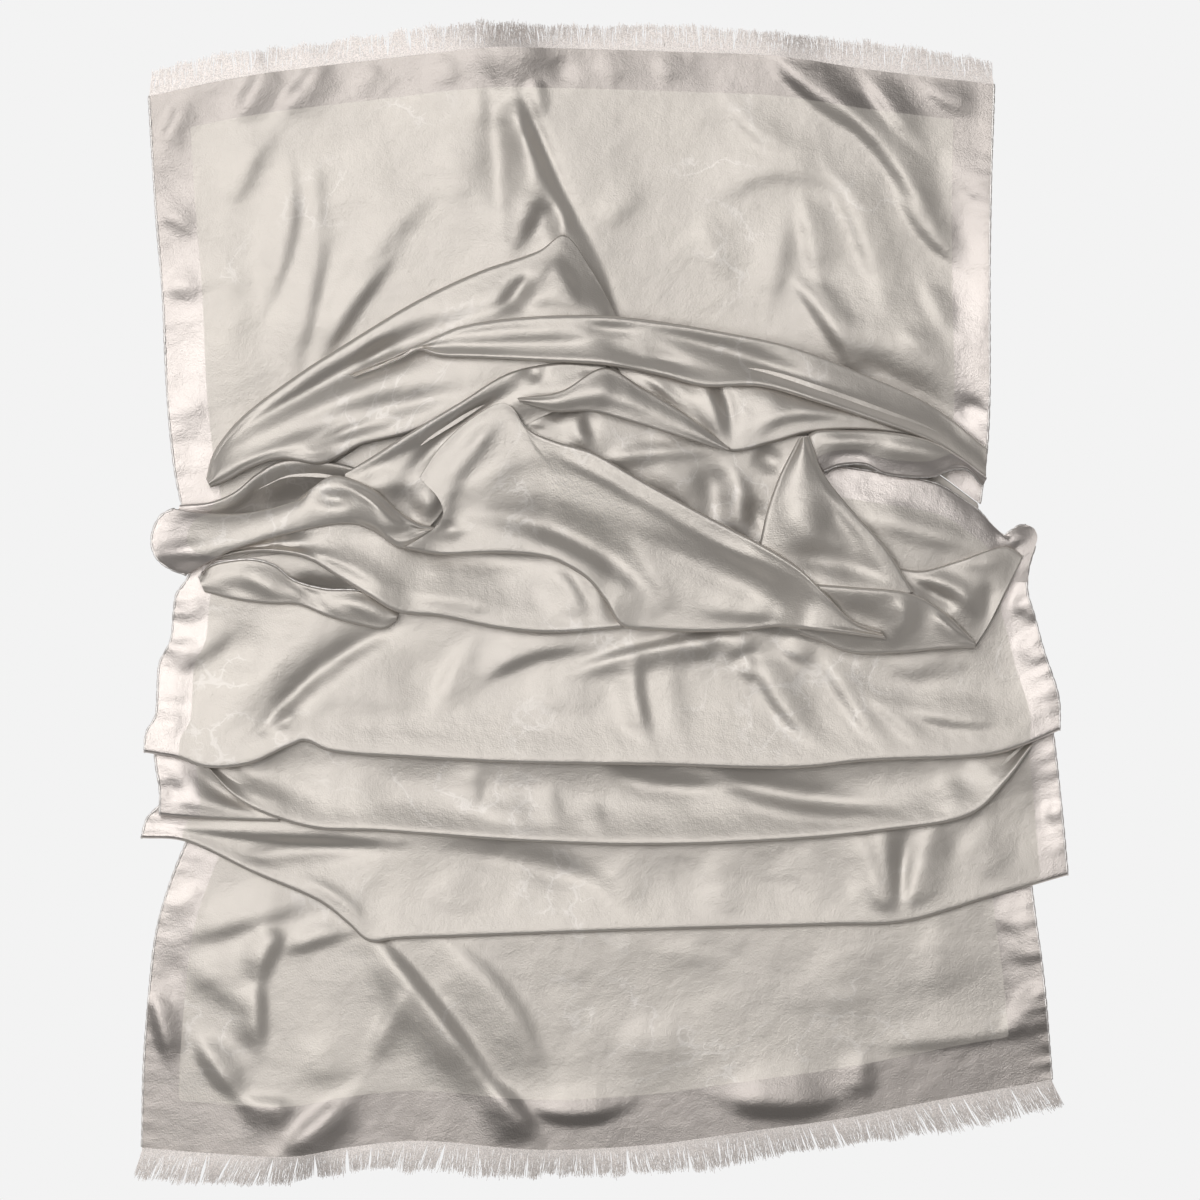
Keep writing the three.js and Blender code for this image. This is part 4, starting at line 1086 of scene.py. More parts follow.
INNER_FOLD = Stretch(
    name="inner_fold",
    far=(
        (516, 400, 33), (560, 402, 34), (610, 402, 33), (680, 418, 31), (730, 440, 29), (775, 438, 28),
        (812, 436, 28),
    ),
    near=(
        (520, 440, 36), (570, 460, 35), (612, 482, 31), (668, 514, 27), (716, 540, 26), (765, 562, 26),
        (800, 580, 26),
    ),
    crown=1, start_of_cloth=560,
    folds=(
        (534, 432, 530, 420, 556, 412, 7, 2, 0),
        (546, 420, 556, 410, 570, 412, 7, -3, 0),
        (580, 408, 574, 432, 592, 454, 7, 3, -0.5),
        (590, 410, 588, 424, 594, 440, 6, -2, 0),
        (700, 462, 724, 490, 704, 536, 14, -4, 0),
        (730, 466, 750, 504, 736, 540, 11, 4, -0.4),
        (756, 448, 768, 460, 782, 472, 10, -4, 0),
        (744, 500, 754, 514, 764, 532, 9, -3, 0),
        (608, 464, 620, 452, 730, 450, 8, 3, 0),
        (640, 470, 680, 476, 700, 500, 14, 2, 0),
    ),
)

MID_PANEL = Stretch(
    name="mid_panel",
    far=((606, 350, 26), (680, 356, 27), (740, 370, 26), (820, 388, 24), (900, 416, 18), (968, 452, 10)),
    near=(
        (632, 392, 30), (690, 426, 32), (728, 452, 33), (770, 444, 33), (812, 433, 32), (880, 432, 28),
        (930, 443, 21), (982, 477, 11),
    ),
    crown=2, near_fold=2.4, start_of_cloth=470,
    folds=(
        (694, 376, 716, 392, 720, 448, 9, 4, -0.5),
        (712, 374, 732, 400, 731, 448, 6, -3.5, 0),
        (756, 436, 772, 400, 854, 418, 10, 3, 0.5),
        (740, 390, 760, 400, 790, 396, 14, 1.6, 0.3),
        (640, 374, 670, 390, 706, 422, 8, 3, 0.5),
        (660, 384, 680, 396, 700, 420, 6, -2, 0),
    ),
)

KNOT = Stretch(
    name="knot",
    far=(
        (346, 474, 28, 0.4), (372, 458, 31), (410, 434, 33), (460, 404, 34), (510, 374, 35), (560, 364, 34),
        (606, 366, 33),
    ),
    near=(
        (350, 508, 26), (384, 524, 27), (424, 530, 28), (452, 500, 29), (505, 440, 30), (560, 410, 29),
        (606, 396, 30),
    ),
    crown=2, far_fold=2.5, start_of_cloth=520,
    folds=(
        (346, 474, 430, 428, 522, 372, 11, 4, 0.6),
        (406, 482, 440, 434, 524, 388, 9, -5, 0),
        (534, 396, 584, 398, 602, 370, 7, 3, 0.5),
        (522, 362, 532, 372, 544, 380, 9, -4, 0),
        (360, 484, 380, 490, 410, 482, 9, 2, 0.4),
        (418, 506, 430, 500, 442, 510, 8, 3, 0),
        (392, 486, 410, 506, 424, 526, 9, -3, 0),
    ),
)

TONGUE = Stretch(
    name="tongue",
    far=(
        (518, 399, 35, 0.3), (560, 393, 37), (605, 369, 38), (640, 388, 39), (682, 413, 38),
        (729, 449, 35, 0.1),
    ),
    near=(
        (520, 403, 35, 0.3), (555, 413, 38), (592, 413, 40), (634, 424, 40), (676, 437, 39),
        (727, 452, 35, 0.1),
    ),
    crown=1.5, far_fold=2.2, near_fold=2.2, start_of_cloth=500,
    folds=((560, 402, 610, 388, 660, 416, 9, 2, 0.5), (600, 376, 606, 390, 600, 404, 8, 1.6, 0.0)),
)

MIDDLE_ROLL = Stretch(
    name="middle_roll",
    far=(
        (350, 375, 24, 0.1), (376, 364, 26, 0.4), (400, 354, 28, 0.8), (440, 336, 32), (460, 328, 33),
        (520, 319, 36), (600, 317, 37), (660, 323, 36), (720, 333, 34, 0.8), (790, 348, 30, 0.6),
        (860, 374, 24, 0.5), (930, 406, 17, 0.5), (986, 448, 9, 0.5),
    ),
    near=(
        (355, 378, 24, 0.1), (384, 368, 27, 0.4), (402, 361, 30, 0.8), (420, 352, 33), (440, 358, 35),
        (480, 360, 38), (540, 363, 39), (607, 367, 40), (660, 377, 40), (704, 388, 39), (760, 388, 36),
        (820, 405, 32), (880, 425, 27), (935, 446, 20), (985, 480, 11),
    ),
    crown=-2.4, far_fold=3, near_fold=2.6, start_of_cloth=400, fold_strength=0.85,
    folds=(
        (640, 326, 720, 348, 840, 392, 9, -4, 0),
        (582, 324, 610, 336, 644, 326, 9, -3, 0),
        (596, 340, 640, 356, 706, 372, 7, -3, 0),
        (430, 342, 520, 330, 620, 336, 10, 2.5, 0.5),
        (600, 344, 640, 350, 660, 362, 7, 2, 0.4),
        (740, 362, 830, 384, 950, 444, 11, -1.6, 0),
        (408, 362, 416, 354, 426, 344, 7, -3, 0),
    ),
)

RIGHT_FLAP = Stretch(
    name="right_flap",
    far=(
        (804, 441, 36), (812, 433, 36), (850, 431, 34), (890, 433, 31), (930, 442, 25), (958, 457, 19),
        (986, 478, 12, 0.5),
    ),
    near=(
        (822, 472, 34), (838, 466, 34), (864, 465, 33), (884, 474, 31), (930, 477, 27), (950, 470, 23),
        (966, 470, 20), (982, 486, 13, 0.5),
    ),
    crown=1, far_fold=2.6, near_fold=1.6, borders=(Border(Side.NEAR, 10),), hems=(Side.NEAR,),
    start_of_cloth=440,
    folds=(
        (872, 452, 910, 446, 960, 466, 10, 2.5, 0.5),
        (816, 446, 850, 438, 890, 444, 9, 2, 0.5),
        (822, 460, 850, 456, 872, 462, 7, -2, 0),
        (940, 460, 958, 464, 978, 478, 7, -2, 0),
    ),
)

RIGHT_TAIL = Stretch(
    name="right_tail",
    far=((886, 566, 30), (920, 571, 29), (960, 560, 28), (1005, 547, 26), (1021, 556, 24)),
    near=((900, 612, 29), (922, 624, 28), (946, 636, 27), (962, 645, 26), (972, 648, 25)),
    right=((1021, 556), (1003, 592), (986, 626), (972, 648)),
    crown=3, far_fold=2, start_of_cloth=860,
    folds=(
        (904, 572, 960, 586, 980, 618, 9, 4, 0.2),
        (910, 584, 940, 596, 966, 606, 9, -4, 0),
        (940, 566, 980, 560, 1010, 560, 9, 2, 0),
        (985, 580, 992, 600, 978, 630, 8, -2.5, 0),
    ),
)

CONE = Stretch(
    name="cone",
    far=((808, 437, 38), (822, 474, 41), (848, 508, 42), (884, 548, 40), (912, 592, 36)),
    near=((797, 440, 38), (776, 482, 40), (762, 528, 40), (760, 560, 38), (800, 606, 34)),
    crown=4, far_fold=2.6, near_fold=2.4, start_of_cloth=620,
    folds=(
        (812, 496, 838, 530, 872, 560, 17, -3, 0),
        (780, 556, 830, 556, 890, 580, 14, -6, 0),
        (806, 446, 832, 498, 892, 566, 8, 2.5, 0.4),
        (780, 500, 800, 530, 830, 540, 22, 2.5, 0.3),
    ),
)

LEFT_FLAP = Stretch(
    name="left_flap",
    far=(
        (200, 578, 22), (210, 567, 24), (232, 561, 25), (256, 560, 27), (276, 566, 27), (294, 580, 27),
        (325, 589, 27), (362, 591, 27), (386, 600, 26), (399, 613, 25, 0.6),
    ),
    near=(
        (206, 592, 22), (238, 600, 25), (270, 604, 27), (300, 605, 27), (330, 617, 27), (360, 625, 27),
        (384, 629, 26), (397, 621, 25, 0.6),
    ),
    crown=1.5, far_fold=1.6, near_fold=2.4, hems=(Side.FAR,), start_of_cloth=900,
    folds=(
        (236, 572, 262, 580, 288, 600, 9, 2, 0.5),
        (296, 584, 316, 598, 330, 614, 8, -2, 0),
        (340, 598, 366, 606, 392, 618, 9, 2, 0.4),
        (222, 584, 240, 590, 262, 600, 8, -1.4, 0),
    ),
)

LOWER_LOBE = Stretch(
    name="lower_lobe",
    far=(
        (206, 556, 26), (260, 542, 27), (320, 526, 28), (380, 518, 28), (450, 530, 28),
        (530, 540, 28), (590, 562, 28), (620, 590, 28),
    ),
    near=(
        (203, 576, 26), (216, 561, 27), (250, 553, 29), (290, 555, 31), (312, 561, 32), (340, 578, 32),
        (370, 596, 32), (398, 612, 31), (440, 617, 30), (500, 629, 30), (545, 633, 30), (590, 631, 30),
        (622, 628, 30),
    ),
    crown=-3, near_fold=2.8, borders=(Border(Side.LEFT, 20),), start_of_cloth=760,
    folds=(
        (548, 566, 574, 590, 582, 624, 12, 3, -0.6),
        (574, 560, 600, 590, 604, 626, 12, 3, -0.6),
        (370, 536, 470, 560, 560, 562, 14, -4, 0),
        (300, 546, 340, 552, 396, 594, 12, 3, 0.5),
        (230, 560, 280, 544, 330, 552, 10, -3, 0),
        (400, 590, 450, 604, 520, 608, 14, 2.5, 0.6),
        (276, 536, 276, 546, 280, 554, 6, 1.5, 0),
    ),
)

LEFT_ROLL = Stretch(
    name="left_roll",
    far=(
        (176, 509, 25, 0.3), (200, 513, 26, 0.5), (232, 514, 27), (262, 511, 28), (298, 502, 31),
        (313, 495, 32), (322, 482, 33), (336, 476, 34), (352, 479, 35), (378, 492, 35), (402, 513, 35),
        (424, 525, 34), (440, 528, 33, 0.4),
    ),
    near=(
        (188, 575, 23, 0.3), (210, 563, 25, 0.5), (234, 551, 27), (262, 542, 29), (300, 532, 32),
        (340, 525, 35), (360, 526, 36), (378, 534, 36), (392, 544, 36), (405, 549, 35), (422, 540, 34),
        (438, 529, 33, 0.4),
    ),
    left=((176, 509), (163, 516), (155, 531), (154, 547), (160, 560), (172, 569), (188, 575)),
    crown=2, far_fold=3, near_fold=3.2, borders=(Border(Side.LEFT, 27),), hems=(Side.LEFT,),
    start_of_cloth=720,
    folds=(
        (316, 492, 334, 506, 360, 494, 7, -3, 0),
        (340, 482, 372, 496, 396, 516, 11, 2.5, -0.3),
        (150, 556, 180, 556, 214, 544, 12, 2.4, -0.5),
        (366, 500, 384, 520, 410, 536, 10, 3, -0.5),
        (378, 532, 410, 536, 436, 526, 6, -3, 0),
        (350, 486, 380, 496, 404, 520, 10, 2, 0.5),
    ),
)

LOWER_RIGHT_ROLL = Stretch(
    name="lower_right_roll",
    far=((808, 584, 33), (850, 587, 36), (910, 594, 36), (940, 610, 34), (972, 640, 29)),
    near=((798, 634, 30), (820, 642, 32), (850, 653, 33), (900, 653, 33), (940, 649, 31), (974, 648, 28)),
    crown=0.5, far_fold=2.4, near_fold=2.8, start_of_cloth=800,
    folds=(
        (838, 608, 860, 616, 888, 622, 11, -2, 0),
        (890, 594, 916, 612, 888, 644, 8, 4, 0),
        (930, 610, 946, 624, 960, 640, 9, 2.5, 0),
        (820, 612, 850, 630, 870, 636, 10, 2, 0),
    ),
)

BILLOW = Stretch(
    name="billow",
    far=(
        (420, 478, 24, 0.08), (440, 449, 24, 0.08), (470, 421, 24, 0.08), (498, 405, 24, 0.08),
        (512, 408, 36, 0.3), (528, 430, 39, 0.8), (552, 441, 41), (592, 453, 42), (640, 480, 42),
        (700, 513, 42), (755, 542, 42), (796, 567, 41), (822, 592, 39), (850, 619, 37), (878, 630, 34),
    ),
    near=(
        (404, 549, 36), (440, 555, 38), (500, 554, 38), (545, 558, 38), (566, 566, 38), (590, 582, 37),
        (606, 602, 35), (622, 626, 33), (650, 630, 32), (700, 632, 32), (750, 630, 32), (775, 627, 33),
        (820, 631, 33), (884, 639, 33),
    ),
    left=((420, 478), (440, 500), (444, 514), (437, 527), (404, 549)),
    crown=-1.5, far_fold=2.8, near_fold=3, start_of_cloth=640,
    folds=(
        (458, 512, 596, 514, 668, 612, 17, -5.5, 0.2),
        (470, 474, 520, 440, 560, 460, 24, 1.6, 0.3),
        (446, 506, 452, 462, 506, 414, 13, 2.6, 0.4),
        (446, 496, 480, 484, 520, 462, 9, 1.2, -0.4),
        (618, 532, 690, 556, 790, 610, 15, -3, 0),
        (620, 480, 720, 536, 806, 592, 16, 3, 0.5),
        (640, 500, 700, 524, 752, 552, 9, -2, 0),
        (540, 442, 600, 470, 700, 530, 12, 2, 0.5),
        (500, 412, 484, 430, 474, 450, 10, 2, -0.4),
        (420, 522, 440, 532, 470, 530, 8, -3, 0),
        (690, 606, 740, 612, 780, 618, 14, 1.6, 0.4),
        (640, 560, 660, 590, 676, 622, 14, 1.8, -0.4),
    ),
)

LAID_ORDER = (
    PLEAT_3, LEFT_TUCK, PLEAT_2, PLEAT_1, RIGHT_WING, LEFT_LEDGE, FAR_ROLL, INNER_FOLD, MID_PANEL, KNOT,
    TONGUE, MIDDLE_ROLL, RIGHT_FLAP, RIGHT_TAIL, CONE, LEFT_FLAP, LOWER_LOBE, LEFT_ROLL,
    LOWER_RIGHT_ROLL, BILLOW,
)


def grid_faces(columns: int, rows: int, closed: bool = False) -> Array:
    """Four corners of each face between neighbours of a grid.

    Args:
        columns: points along the first index.
        rows: points along the second index.
        closed: whether the last column joins the first.

    Returns:
        Vertex numbers, one row for each face.
    """
    i = np.arange(columns if closed else columns - 1)[:, None]
    j = np.arange(rows - 1)[None, :]
    following = (i + 1) % columns
    corners = [i * rows + j, i * rows + j + 1, following * rows + j + 1, following * rows + j]
    return np.stack([np.broadcast_to(c, (len(i), rows - 1)) for c in corners], axis=-1).reshape(-1, 4)


def make_piece(
    name: str, points: Array, faces: list[Array], material: bpy.types.Material,
    cloth: Array | None = None, to_hem: Array | None = None, to_end: Array | None = None,
    smooth: bool = True,
) -> bpy.types.Object:
    """Makes one piece with its place in its mesh.

    Args:
        name: the piece's name.
        points: vertices in millimetres.
        faces: arrays of vertex numbers, each with its own number of corners.
        material: its finish.
        cloth: for each vertex, where it is on the flat cloth.
        to_hem: for each vertex, its distance to the hem as a share of the border's width.
        to_end: the same, to the fringed end alone.
        smooth: whether its faces are shaded as one smooth surface.

    Returns:
        The object.
    """
    mesh = bpy.data.meshes.new(name)
    corners = [face for part in faces for face in part.tolist()]
    mesh.from_pydata((points.reshape(-1, 3) * METRE).tolist(), [], corners)
    mesh.polygons.foreach_set("use_smooth", np.full(len(mesh.polygons), smooth))
    mesh.materials.append(material)
    if cloth is not None:
        corner = np.empty(len(mesh.loops), int)
        mesh.loops.foreach_get("vertex_index", corner)
        layer = mesh.uv_layers.new(name="cloth")
        layer.data.foreach_set("uv", cloth.reshape(-1, 2)[corner].ravel())
    for key, values in (("to_hem", to_hem), ("to_end", to_end)):
        if values is not None:
            mesh.attributes.new(key, "FLOAT", "POINT").data.foreach_set("value", values.ravel())
    mesh.update()
    piece = bpy.data.objects.new(name, mesh)
    bpy.context.scene.collection.objects.link(piece)
    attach(piece, "root")
    return piece


def sharpen_rim(mesh: bpy.types.Mesh, columns: int, rows: int) -> None:
    """Marks the outer edges of a grid as sharp, so its shading stays level up to the cut edge.

    Args:
        mesh: the mesh, made of one grid.
        columns: the grid's points across.
        rows: its points along.
    """
    ends = np.empty(2 * len(mesh.edges), int)
    mesh.edges.foreach_get("vertices", ends)
    column, row = np.divmod(ends.reshape(-1, 2), rows)
    on_side = (column[:, 0] == column[:, 1]) & np.isin(column[:, 0], (0, columns - 1))
    on_end = (row[:, 0] == row[:, 1]) & np.isin(row[:, 0], (0, rows - 1))
    mesh.attributes.new("sharp_edge", "BOOLEAN", "EDGE").data.foreach_set("value", on_side | on_end)


def tube(path: Array, radius: Array, sides: int = 8, flatness: float = 0.5) -> tuple[Array, list[Array]]:
    """A flattened tube along a path, closed at both ends.

    Each ring lies square to the path, on the level direction across it and the one above.

    Args:
        path: points along it.
        radius: half its width at each.
        sides: points around each ring.
        flatness: its height as a share of its width.

    Returns:
        The vertices and the faces.
    """
    forward = np.gradient(path, axis=0)
    forward /= np.linalg.norm(forward, axis=1, keepdims=True)
    across = np.cross(forward, [0.0, 0.0, 1.0])
    across /= np.maximum(np.linalg.norm(across, axis=1, keepdims=True), 1e-6)
    up = np.cross(across, forward)
    angle = np.linspace(0, 2 * math.pi, sides, endpoint=False)[:, None, None]
    ring = np.cos(angle) * across[None] + flatness * np.sin(angle) * up[None]
    points = path[None] + ring * radius[None, :, None]
    count = len(path)
    body = grid_faces(sides, count, closed=True)
    start = np.arange(sides) * count
    caps = np.stack([start[::-1], (start + count - 1)], axis=0)
    return points.reshape(-1, 3), [body, caps[:, ::-1]]


class Nodes:
    """A short way to write a material's nodes."""

    def __init__(self, name: str) -> None:
        """Makes an empty material with its output and surface shader."""
        self.material = bpy.data.materials.new(name)
        self.material.use_nodes = True
        self.tree = self.material.node_tree
        self.tree.nodes.clear()
        self.output = self.tree.nodes.new("ShaderNodeOutputMaterial")
        self.surface = self.tree.nodes.new("ShaderNodeBsdfPrincipled")
        self.link(self.surface, "BSDF", self.output, "Surface")

    def link(
        self, source: bpy.types.Node, output: str | int, target: bpy.types.Node, socket: str | int,
    ) -> None:
        """Joins an output to an input."""
        self.tree.links.new(source.outputs[output], target.inputs[socket])

    def add(self, kind: str, **settings: object) -> bpy.types.Node:
        """Adds a node of a kind and sets its own options."""
        node = self.tree.nodes.new(kind)
        for key, value in settings.items():
            setattr(node, key, value)
        return node

    @staticmethod
    def fill(node: bpy.types.Node, values: dict[str, object]) -> bpy.types.Node:
        """Sets the values of a node's inputs.

        Args:
            node: the node.
            values: the value of each input, by the input's name.

        Returns:
            The same node.
        """
        for socket, value in values.items():
            node.inputs[socket].default_value = value
        return node

    def math(
        self, operation: str, first: object, second: object = None, third: object = None,
    ) -> bpy.types.Node:
        """Adds a Math node.

        Args:
            operation: what it does.
            first: a number, a node, or a node with the name of one of its outputs.
            second: the same.
            third: the same.

        Returns:
            The node.
        """
        node = self.add("ShaderNodeMath", operation=operation)
        for index, value in enumerate((first, second, third)):
            if isinstance(value, (int, float)):
                node.inputs[index].default_value = value
            elif isinstance(value, tuple):
                self.link(value[0], value[1], node, index)
            elif value is not None:
                self.link(value, 0, node, index)
        return node

    def mix(
        self, share: bpy.types.Node, first: tuple | bpy.types.Node, second: tuple | bpy.types.Node,
    ) -> bpy.types.Node:
        """Adds a colour mix.

        Args:
            share: how much of the second colour there is.
            first: a colour, or another mix.
            second: the same.

        Returns:
            The node.
        """
        node = self.add("ShaderNodeMix", data_type="RGBA")
        self.link(share, 0, node, "Factor")
        for socket, value in ((6, first), (7, second)):
            if isinstance(value, tuple):
                node.inputs[socket].default_value = (*value, 1.0)
            else:
                self.tree.links.new(value.outputs[2], node.inputs[socket])
        return node

    def noise(
        self, scale: float, detail: float, vector: bpy.types.Node | None = None,
    ) -> bpy.types.Node:
        """Adds a Noise texture.

        Args:
            scale: its scale.
            detail: its detail.
            vector: what it reads, or Object coordinates if nothing is given.

        Returns:
            The node.
        """
        node = self.fill(self.add("ShaderNodeTexNoise"), {"Scale": scale, "Detail": detail})
        if vector is None:
            vector = self.add("ShaderNodeTexCoord")
            self.link(vector, "Object", node, "Vector")
        else:
            self.link(vector, 0, node, "Vector")
        return node


@dataclass(frozen=True)
class SatinFinish:
    """Silk satin: a duller field, a glossier border, and on the border towards the fringed ends a darker
    colour that is painted shade, standing in for the duller sheen there.
    """

    field_color: tuple[float, float, float] = (0.655, 0.607, 0.553)
    border_color: tuple[float, float, float] = (0.63, 0.575, 0.54)
    # Painted shade: the border's colour at the fringed ends, darker for the duller sheen there.
    end_painted_shade_color: tuple[float, float, float] = (0.44, 0.40, 0.372)
    sprig_color: tuple[float, float, float] = (0.80, 0.755, 0.71)
    field_roughness: float = 0.47
    border_roughness: float = 0.40
    field_metallic: float = 0.66
    border_metallic: float = 0.78
    anisotropy: float = 0.4
    sheen: float = 0.12
    sheen_roughness: float = 0.35
    specular: float = 0.6
    border_edge: tuple[float, float] = (0.985, 1.015)
    end_shade_fade: tuple[float, float] = (1.0, 7.0)
    stem_scale: float = 24.0
    leaf_scale: float = 95.0
    drift_scale: float = 7.5
    stem_width: tuple[float, float] = (0.003, 0.012)
    leaf_width: tuple[float, float] = (0.012, 0.045)
    leaf_reach: tuple[float, float] = (0.02, 0.05)
    drift_edge: tuple[float, float] = (0.52, 0.62)
    sprig_strength: float = 0.55
    cloud_scale: float = 16.0
    cloud_edge: tuple[float, float] = (0.3, 0.7)
    cloud_color: tuple[float, float, float] = (0.955, 0.955, 0.96)
    twill_scale: float = 520.0
    twill_distortion: float = 0.6
    twill_height: float = 0.00003
    grain_scale: float = 850.0
    grain_height: float = 0.00028
    wrinkle_scale: float = 48.0
    wrinkle_height: float = 0.0012
    bump_strength: float = 0.6

    @staticmethod
    def _ramp(
        nodes: Nodes, source: bpy.types.Node, output: str, limits: tuple[float, float],
        falling: bool = False,
    ) -> bpy.types.Node:
        """Turns a value into a share that rises smoothly between two limits.

        Args:
            nodes: the material's nodes.
            source: the node that the value comes from.
            output: the name of its output.
            limits: where the share starts and stops changing.
            falling: whether it falls instead.

        Returns:
            The node that gives the share.
        """
        ramp = nodes.add("ShaderNodeMapRange", interpolation_type="SMOOTHSTEP")
        nodes.link(source, output, ramp, "Value")
        return nodes.fill(ramp, {
            "From Min": limits[0], "From Max": limits[1],
            "To Min": float(falling), "To Max": float(not falling),
        })

    @staticmethod
    def _from_middle(
        nodes: Nodes, scale: float, detail: float, place: bpy.types.Node,
    ) -> bpy.types.Node:
        """How far a noise is from its middle value, which is near 0 along winding lines."""
        noise = nodes.noise(scale, detail, place)
        return nodes.math("ABSOLUTE", nodes.math("SUBTRACT", (noise, "Fac"), 0.5))

    def _sprigs(self, nodes: Nodes, place: bpy.types.Node, border: bpy.types.Node) -> bpy.types.Node:
        """The faint woven sprigs of the field: thin stems where a slow noise is near its middle,
        with leaves close beside them, shown only in drifts, and never on the border.

        Args:
            nodes: the material's nodes.
            place: where a point is on the flat cloth.
            border: the share of border there.

        Returns:
            The share of sprig there.
        """
        stem = self._from_middle(nodes, self.stem_scale, 1.5, place)
        leaf = self._from_middle(nodes, self.leaf_scale, 1.0, place)
        stems = self._ramp(nodes, stem, "Value", self.stem_width, falling=True)
        leaves = self._ramp(nodes, leaf, "Value", self.leaf_width, falling=True)
        beside = self._ramp(nodes, stem, "Value", self.leaf_reach, falling=True)
        lines = nodes.math("MAXIMUM", stems, nodes.math("MULTIPLY", leaves, beside))
        drift = nodes.noise(self.drift_scale, 1.0, place)
        patches = self._ramp(nodes, drift, "Fac", self.drift_edge)
        shown = nodes.math("MULTIPLY", lines, patches)
        inside = nodes.math("SUBTRACT", 1.0, border)
        in_field = nodes.math("MULTIPLY", shown, inside)
        return nodes.math("MULTIPLY", in_field, self.sprig_strength)

    def _color(self, nodes: Nodes, place: bpy.types.Node, border: bpy.types.Node) -> None:
        """Joins up the colour: field or border, with the sprigs, a slight cloudiness, and painted shade that
        darkens the border towards the fringed ends.

        Args:
            nodes: the material's nodes.
            place: where a point is on the flat cloth.
            border: the share of border there.
        """
        to_end = nodes.add("ShaderNodeAttribute", attribute_name="to_end")
        inward = self._ramp(nodes, to_end, "Fac", self.end_shade_fade)
        sprigs = self._sprigs(nodes, place, border)
        # Painted shade: the border darkens towards each fringed end, standing in for its duller sheen there.
        border_tone_with_end_shade = nodes.mix(inward, self.end_painted_shade_color, self.border_color)
        field_tone = nodes.mix(sprigs, self.field_color, self.sprig_color)
        tone = nodes.mix(border, field_tone, border_tone_with_end_shade)
        shade = self._ramp(nodes, nodes.noise(self.cloud_scale, 3.0), "Fac", self.cloud_edge)
        uneven = nodes.mix(shade, self.cloud_color, (1.0, 1.0, 1.0))
        final = nodes.add("ShaderNodeMix", data_type="RGBA", blend_type="MULTIPLY")
        nodes.fill(final, {"Factor": 1.0})
        nodes.tree.links.new(tone.outputs[2], final.inputs[6])
        nodes.tree.links.new(uneven.outputs[2], final.inputs[7])
        nodes.tree.links.new(final.outputs[2], nodes.surface.inputs["Base Color"])

    def _relief(self, nodes: Nodes, place: bpy.types.Node) -> None:
        """Joins up the bump: a twill line, a fine grain and soft wrinkles, added together.

        Args:
            nodes: the material's nodes.
            place: where a point is on the flat cloth.
        """
        twill = nodes.add("ShaderNodeTexWave", wave_type="BANDS", bands_direction="DIAGONAL")
        nodes.fill(twill, {"Scale": self.twill_scale, "Distortion": self.twill_distortion})
        nodes.link(place, "UV", twill, "Vector")
        grain = nodes.math("MULTIPLY", nodes.noise(self.grain_scale, 2.0), self.grain_height)
        weave = nodes.math("MULTIPLY_ADD", twill, self.twill_height, grain)
        wrinkle = nodes.noise(self.wrinkle_scale, 3.0)
        height = nodes.math("MULTIPLY_ADD", wrinkle, self.wrinkle_height, weave)
        bump = nodes.fill(nodes.add("ShaderNodeBump"), {"Strength": self.bump_strength, "Distance": 1.0})
        nodes.link(height, 0, bump, "Height")
        nodes.link(bump, 0, nodes.surface, "Normal")

    def make(self) -> bpy.types.Material:
        """Makes the material: the border is where the distance to a hem is under its width.

        Returns:
            The material.
        """
        nodes = Nodes("silk_satin")
        to_hem = nodes.add("ShaderNodeAttribute", attribute_name="to_hem")
        border = self._ramp(nodes, to_hem, "Fac", self.border_edge, falling=True)
        place = nodes.add("ShaderNodeUVMap", uv_map="cloth")
        self._color(nodes, place, border)
        for socket, in_field, at_border in (
            ("Roughness", self.field_roughness, self.border_roughness),
            ("Metallic", self.field_metallic, self.border_metallic),
        ):
            value = nodes.math("MULTIPLY_ADD", border, at_border - in_field, in_field)
            nodes.link(value, 0, nodes.surface, socket)
        tangent = nodes.add("ShaderNodeTangent", direction_type="UV_MAP", uv_map="cloth")
        nodes.link(tangent, 0, nodes.surface, "Tangent")
        nodes.fill(nodes.surface, {
            "Anisotropic": self.anisotropy, "Sheen Weight": self.sheen,
            "Sheen Roughness": self.sheen_roughness, "Specular IOR Level": self.specular,
        })
        self._relief(nodes, place)
        return nodes.material


@dataclass(frozen=True)
class ThreadFinish:
    """Silk thread, lighter and darker at random from thread to thread: partly its own tone, partly painted
    shade for the shadow in the gaps between threads.
    """

    name: str = "silk_thread"
    color: tuple[float, float, float] = (0.99, 0.92, 0.875)
    roughness: float = 0.5
    metallic: float = 0.55
    darkest_tone_and_shade: float = 0.72
    sheen: float = 0.3
    shade_scale: float = 1100.0
    shade_edge: tuple[float, float] = (0.35, 0.65)

    def make(self) -> bpy.types.Material:
        """Makes the material.

        Returns:
            The material.
        """
        nodes = Nodes(self.name)
        spread = nodes.add("ShaderNodeMapRange")
        nodes.link(nodes.noise(self.shade_scale, 1.0), "Fac", spread, "Value")
        nodes.fill(spread, {"From Min": self.shade_edge[0], "From Max": self.shade_edge[1]})
        # Partly painted shade: threads darkened at random stand in for the shadow between threads.
        tone = nodes.mix(spread, tuple(self.darkest_tone_and_shade * c for c in self.color), self.color)
        nodes.tree.links.new(tone.outputs[2], nodes.surface.inputs["Base Color"])
        nodes.fill(nodes.surface, {
            "Roughness": self.roughness, "Metallic": self.metallic, "Sheen Weight": self.sheen,
        })
        return nodes.material


STITCHED_HEM = ThreadFinish("stitched_hem", (0.93, 0.885, 0.85), roughness=0.45, metallic=0.8)


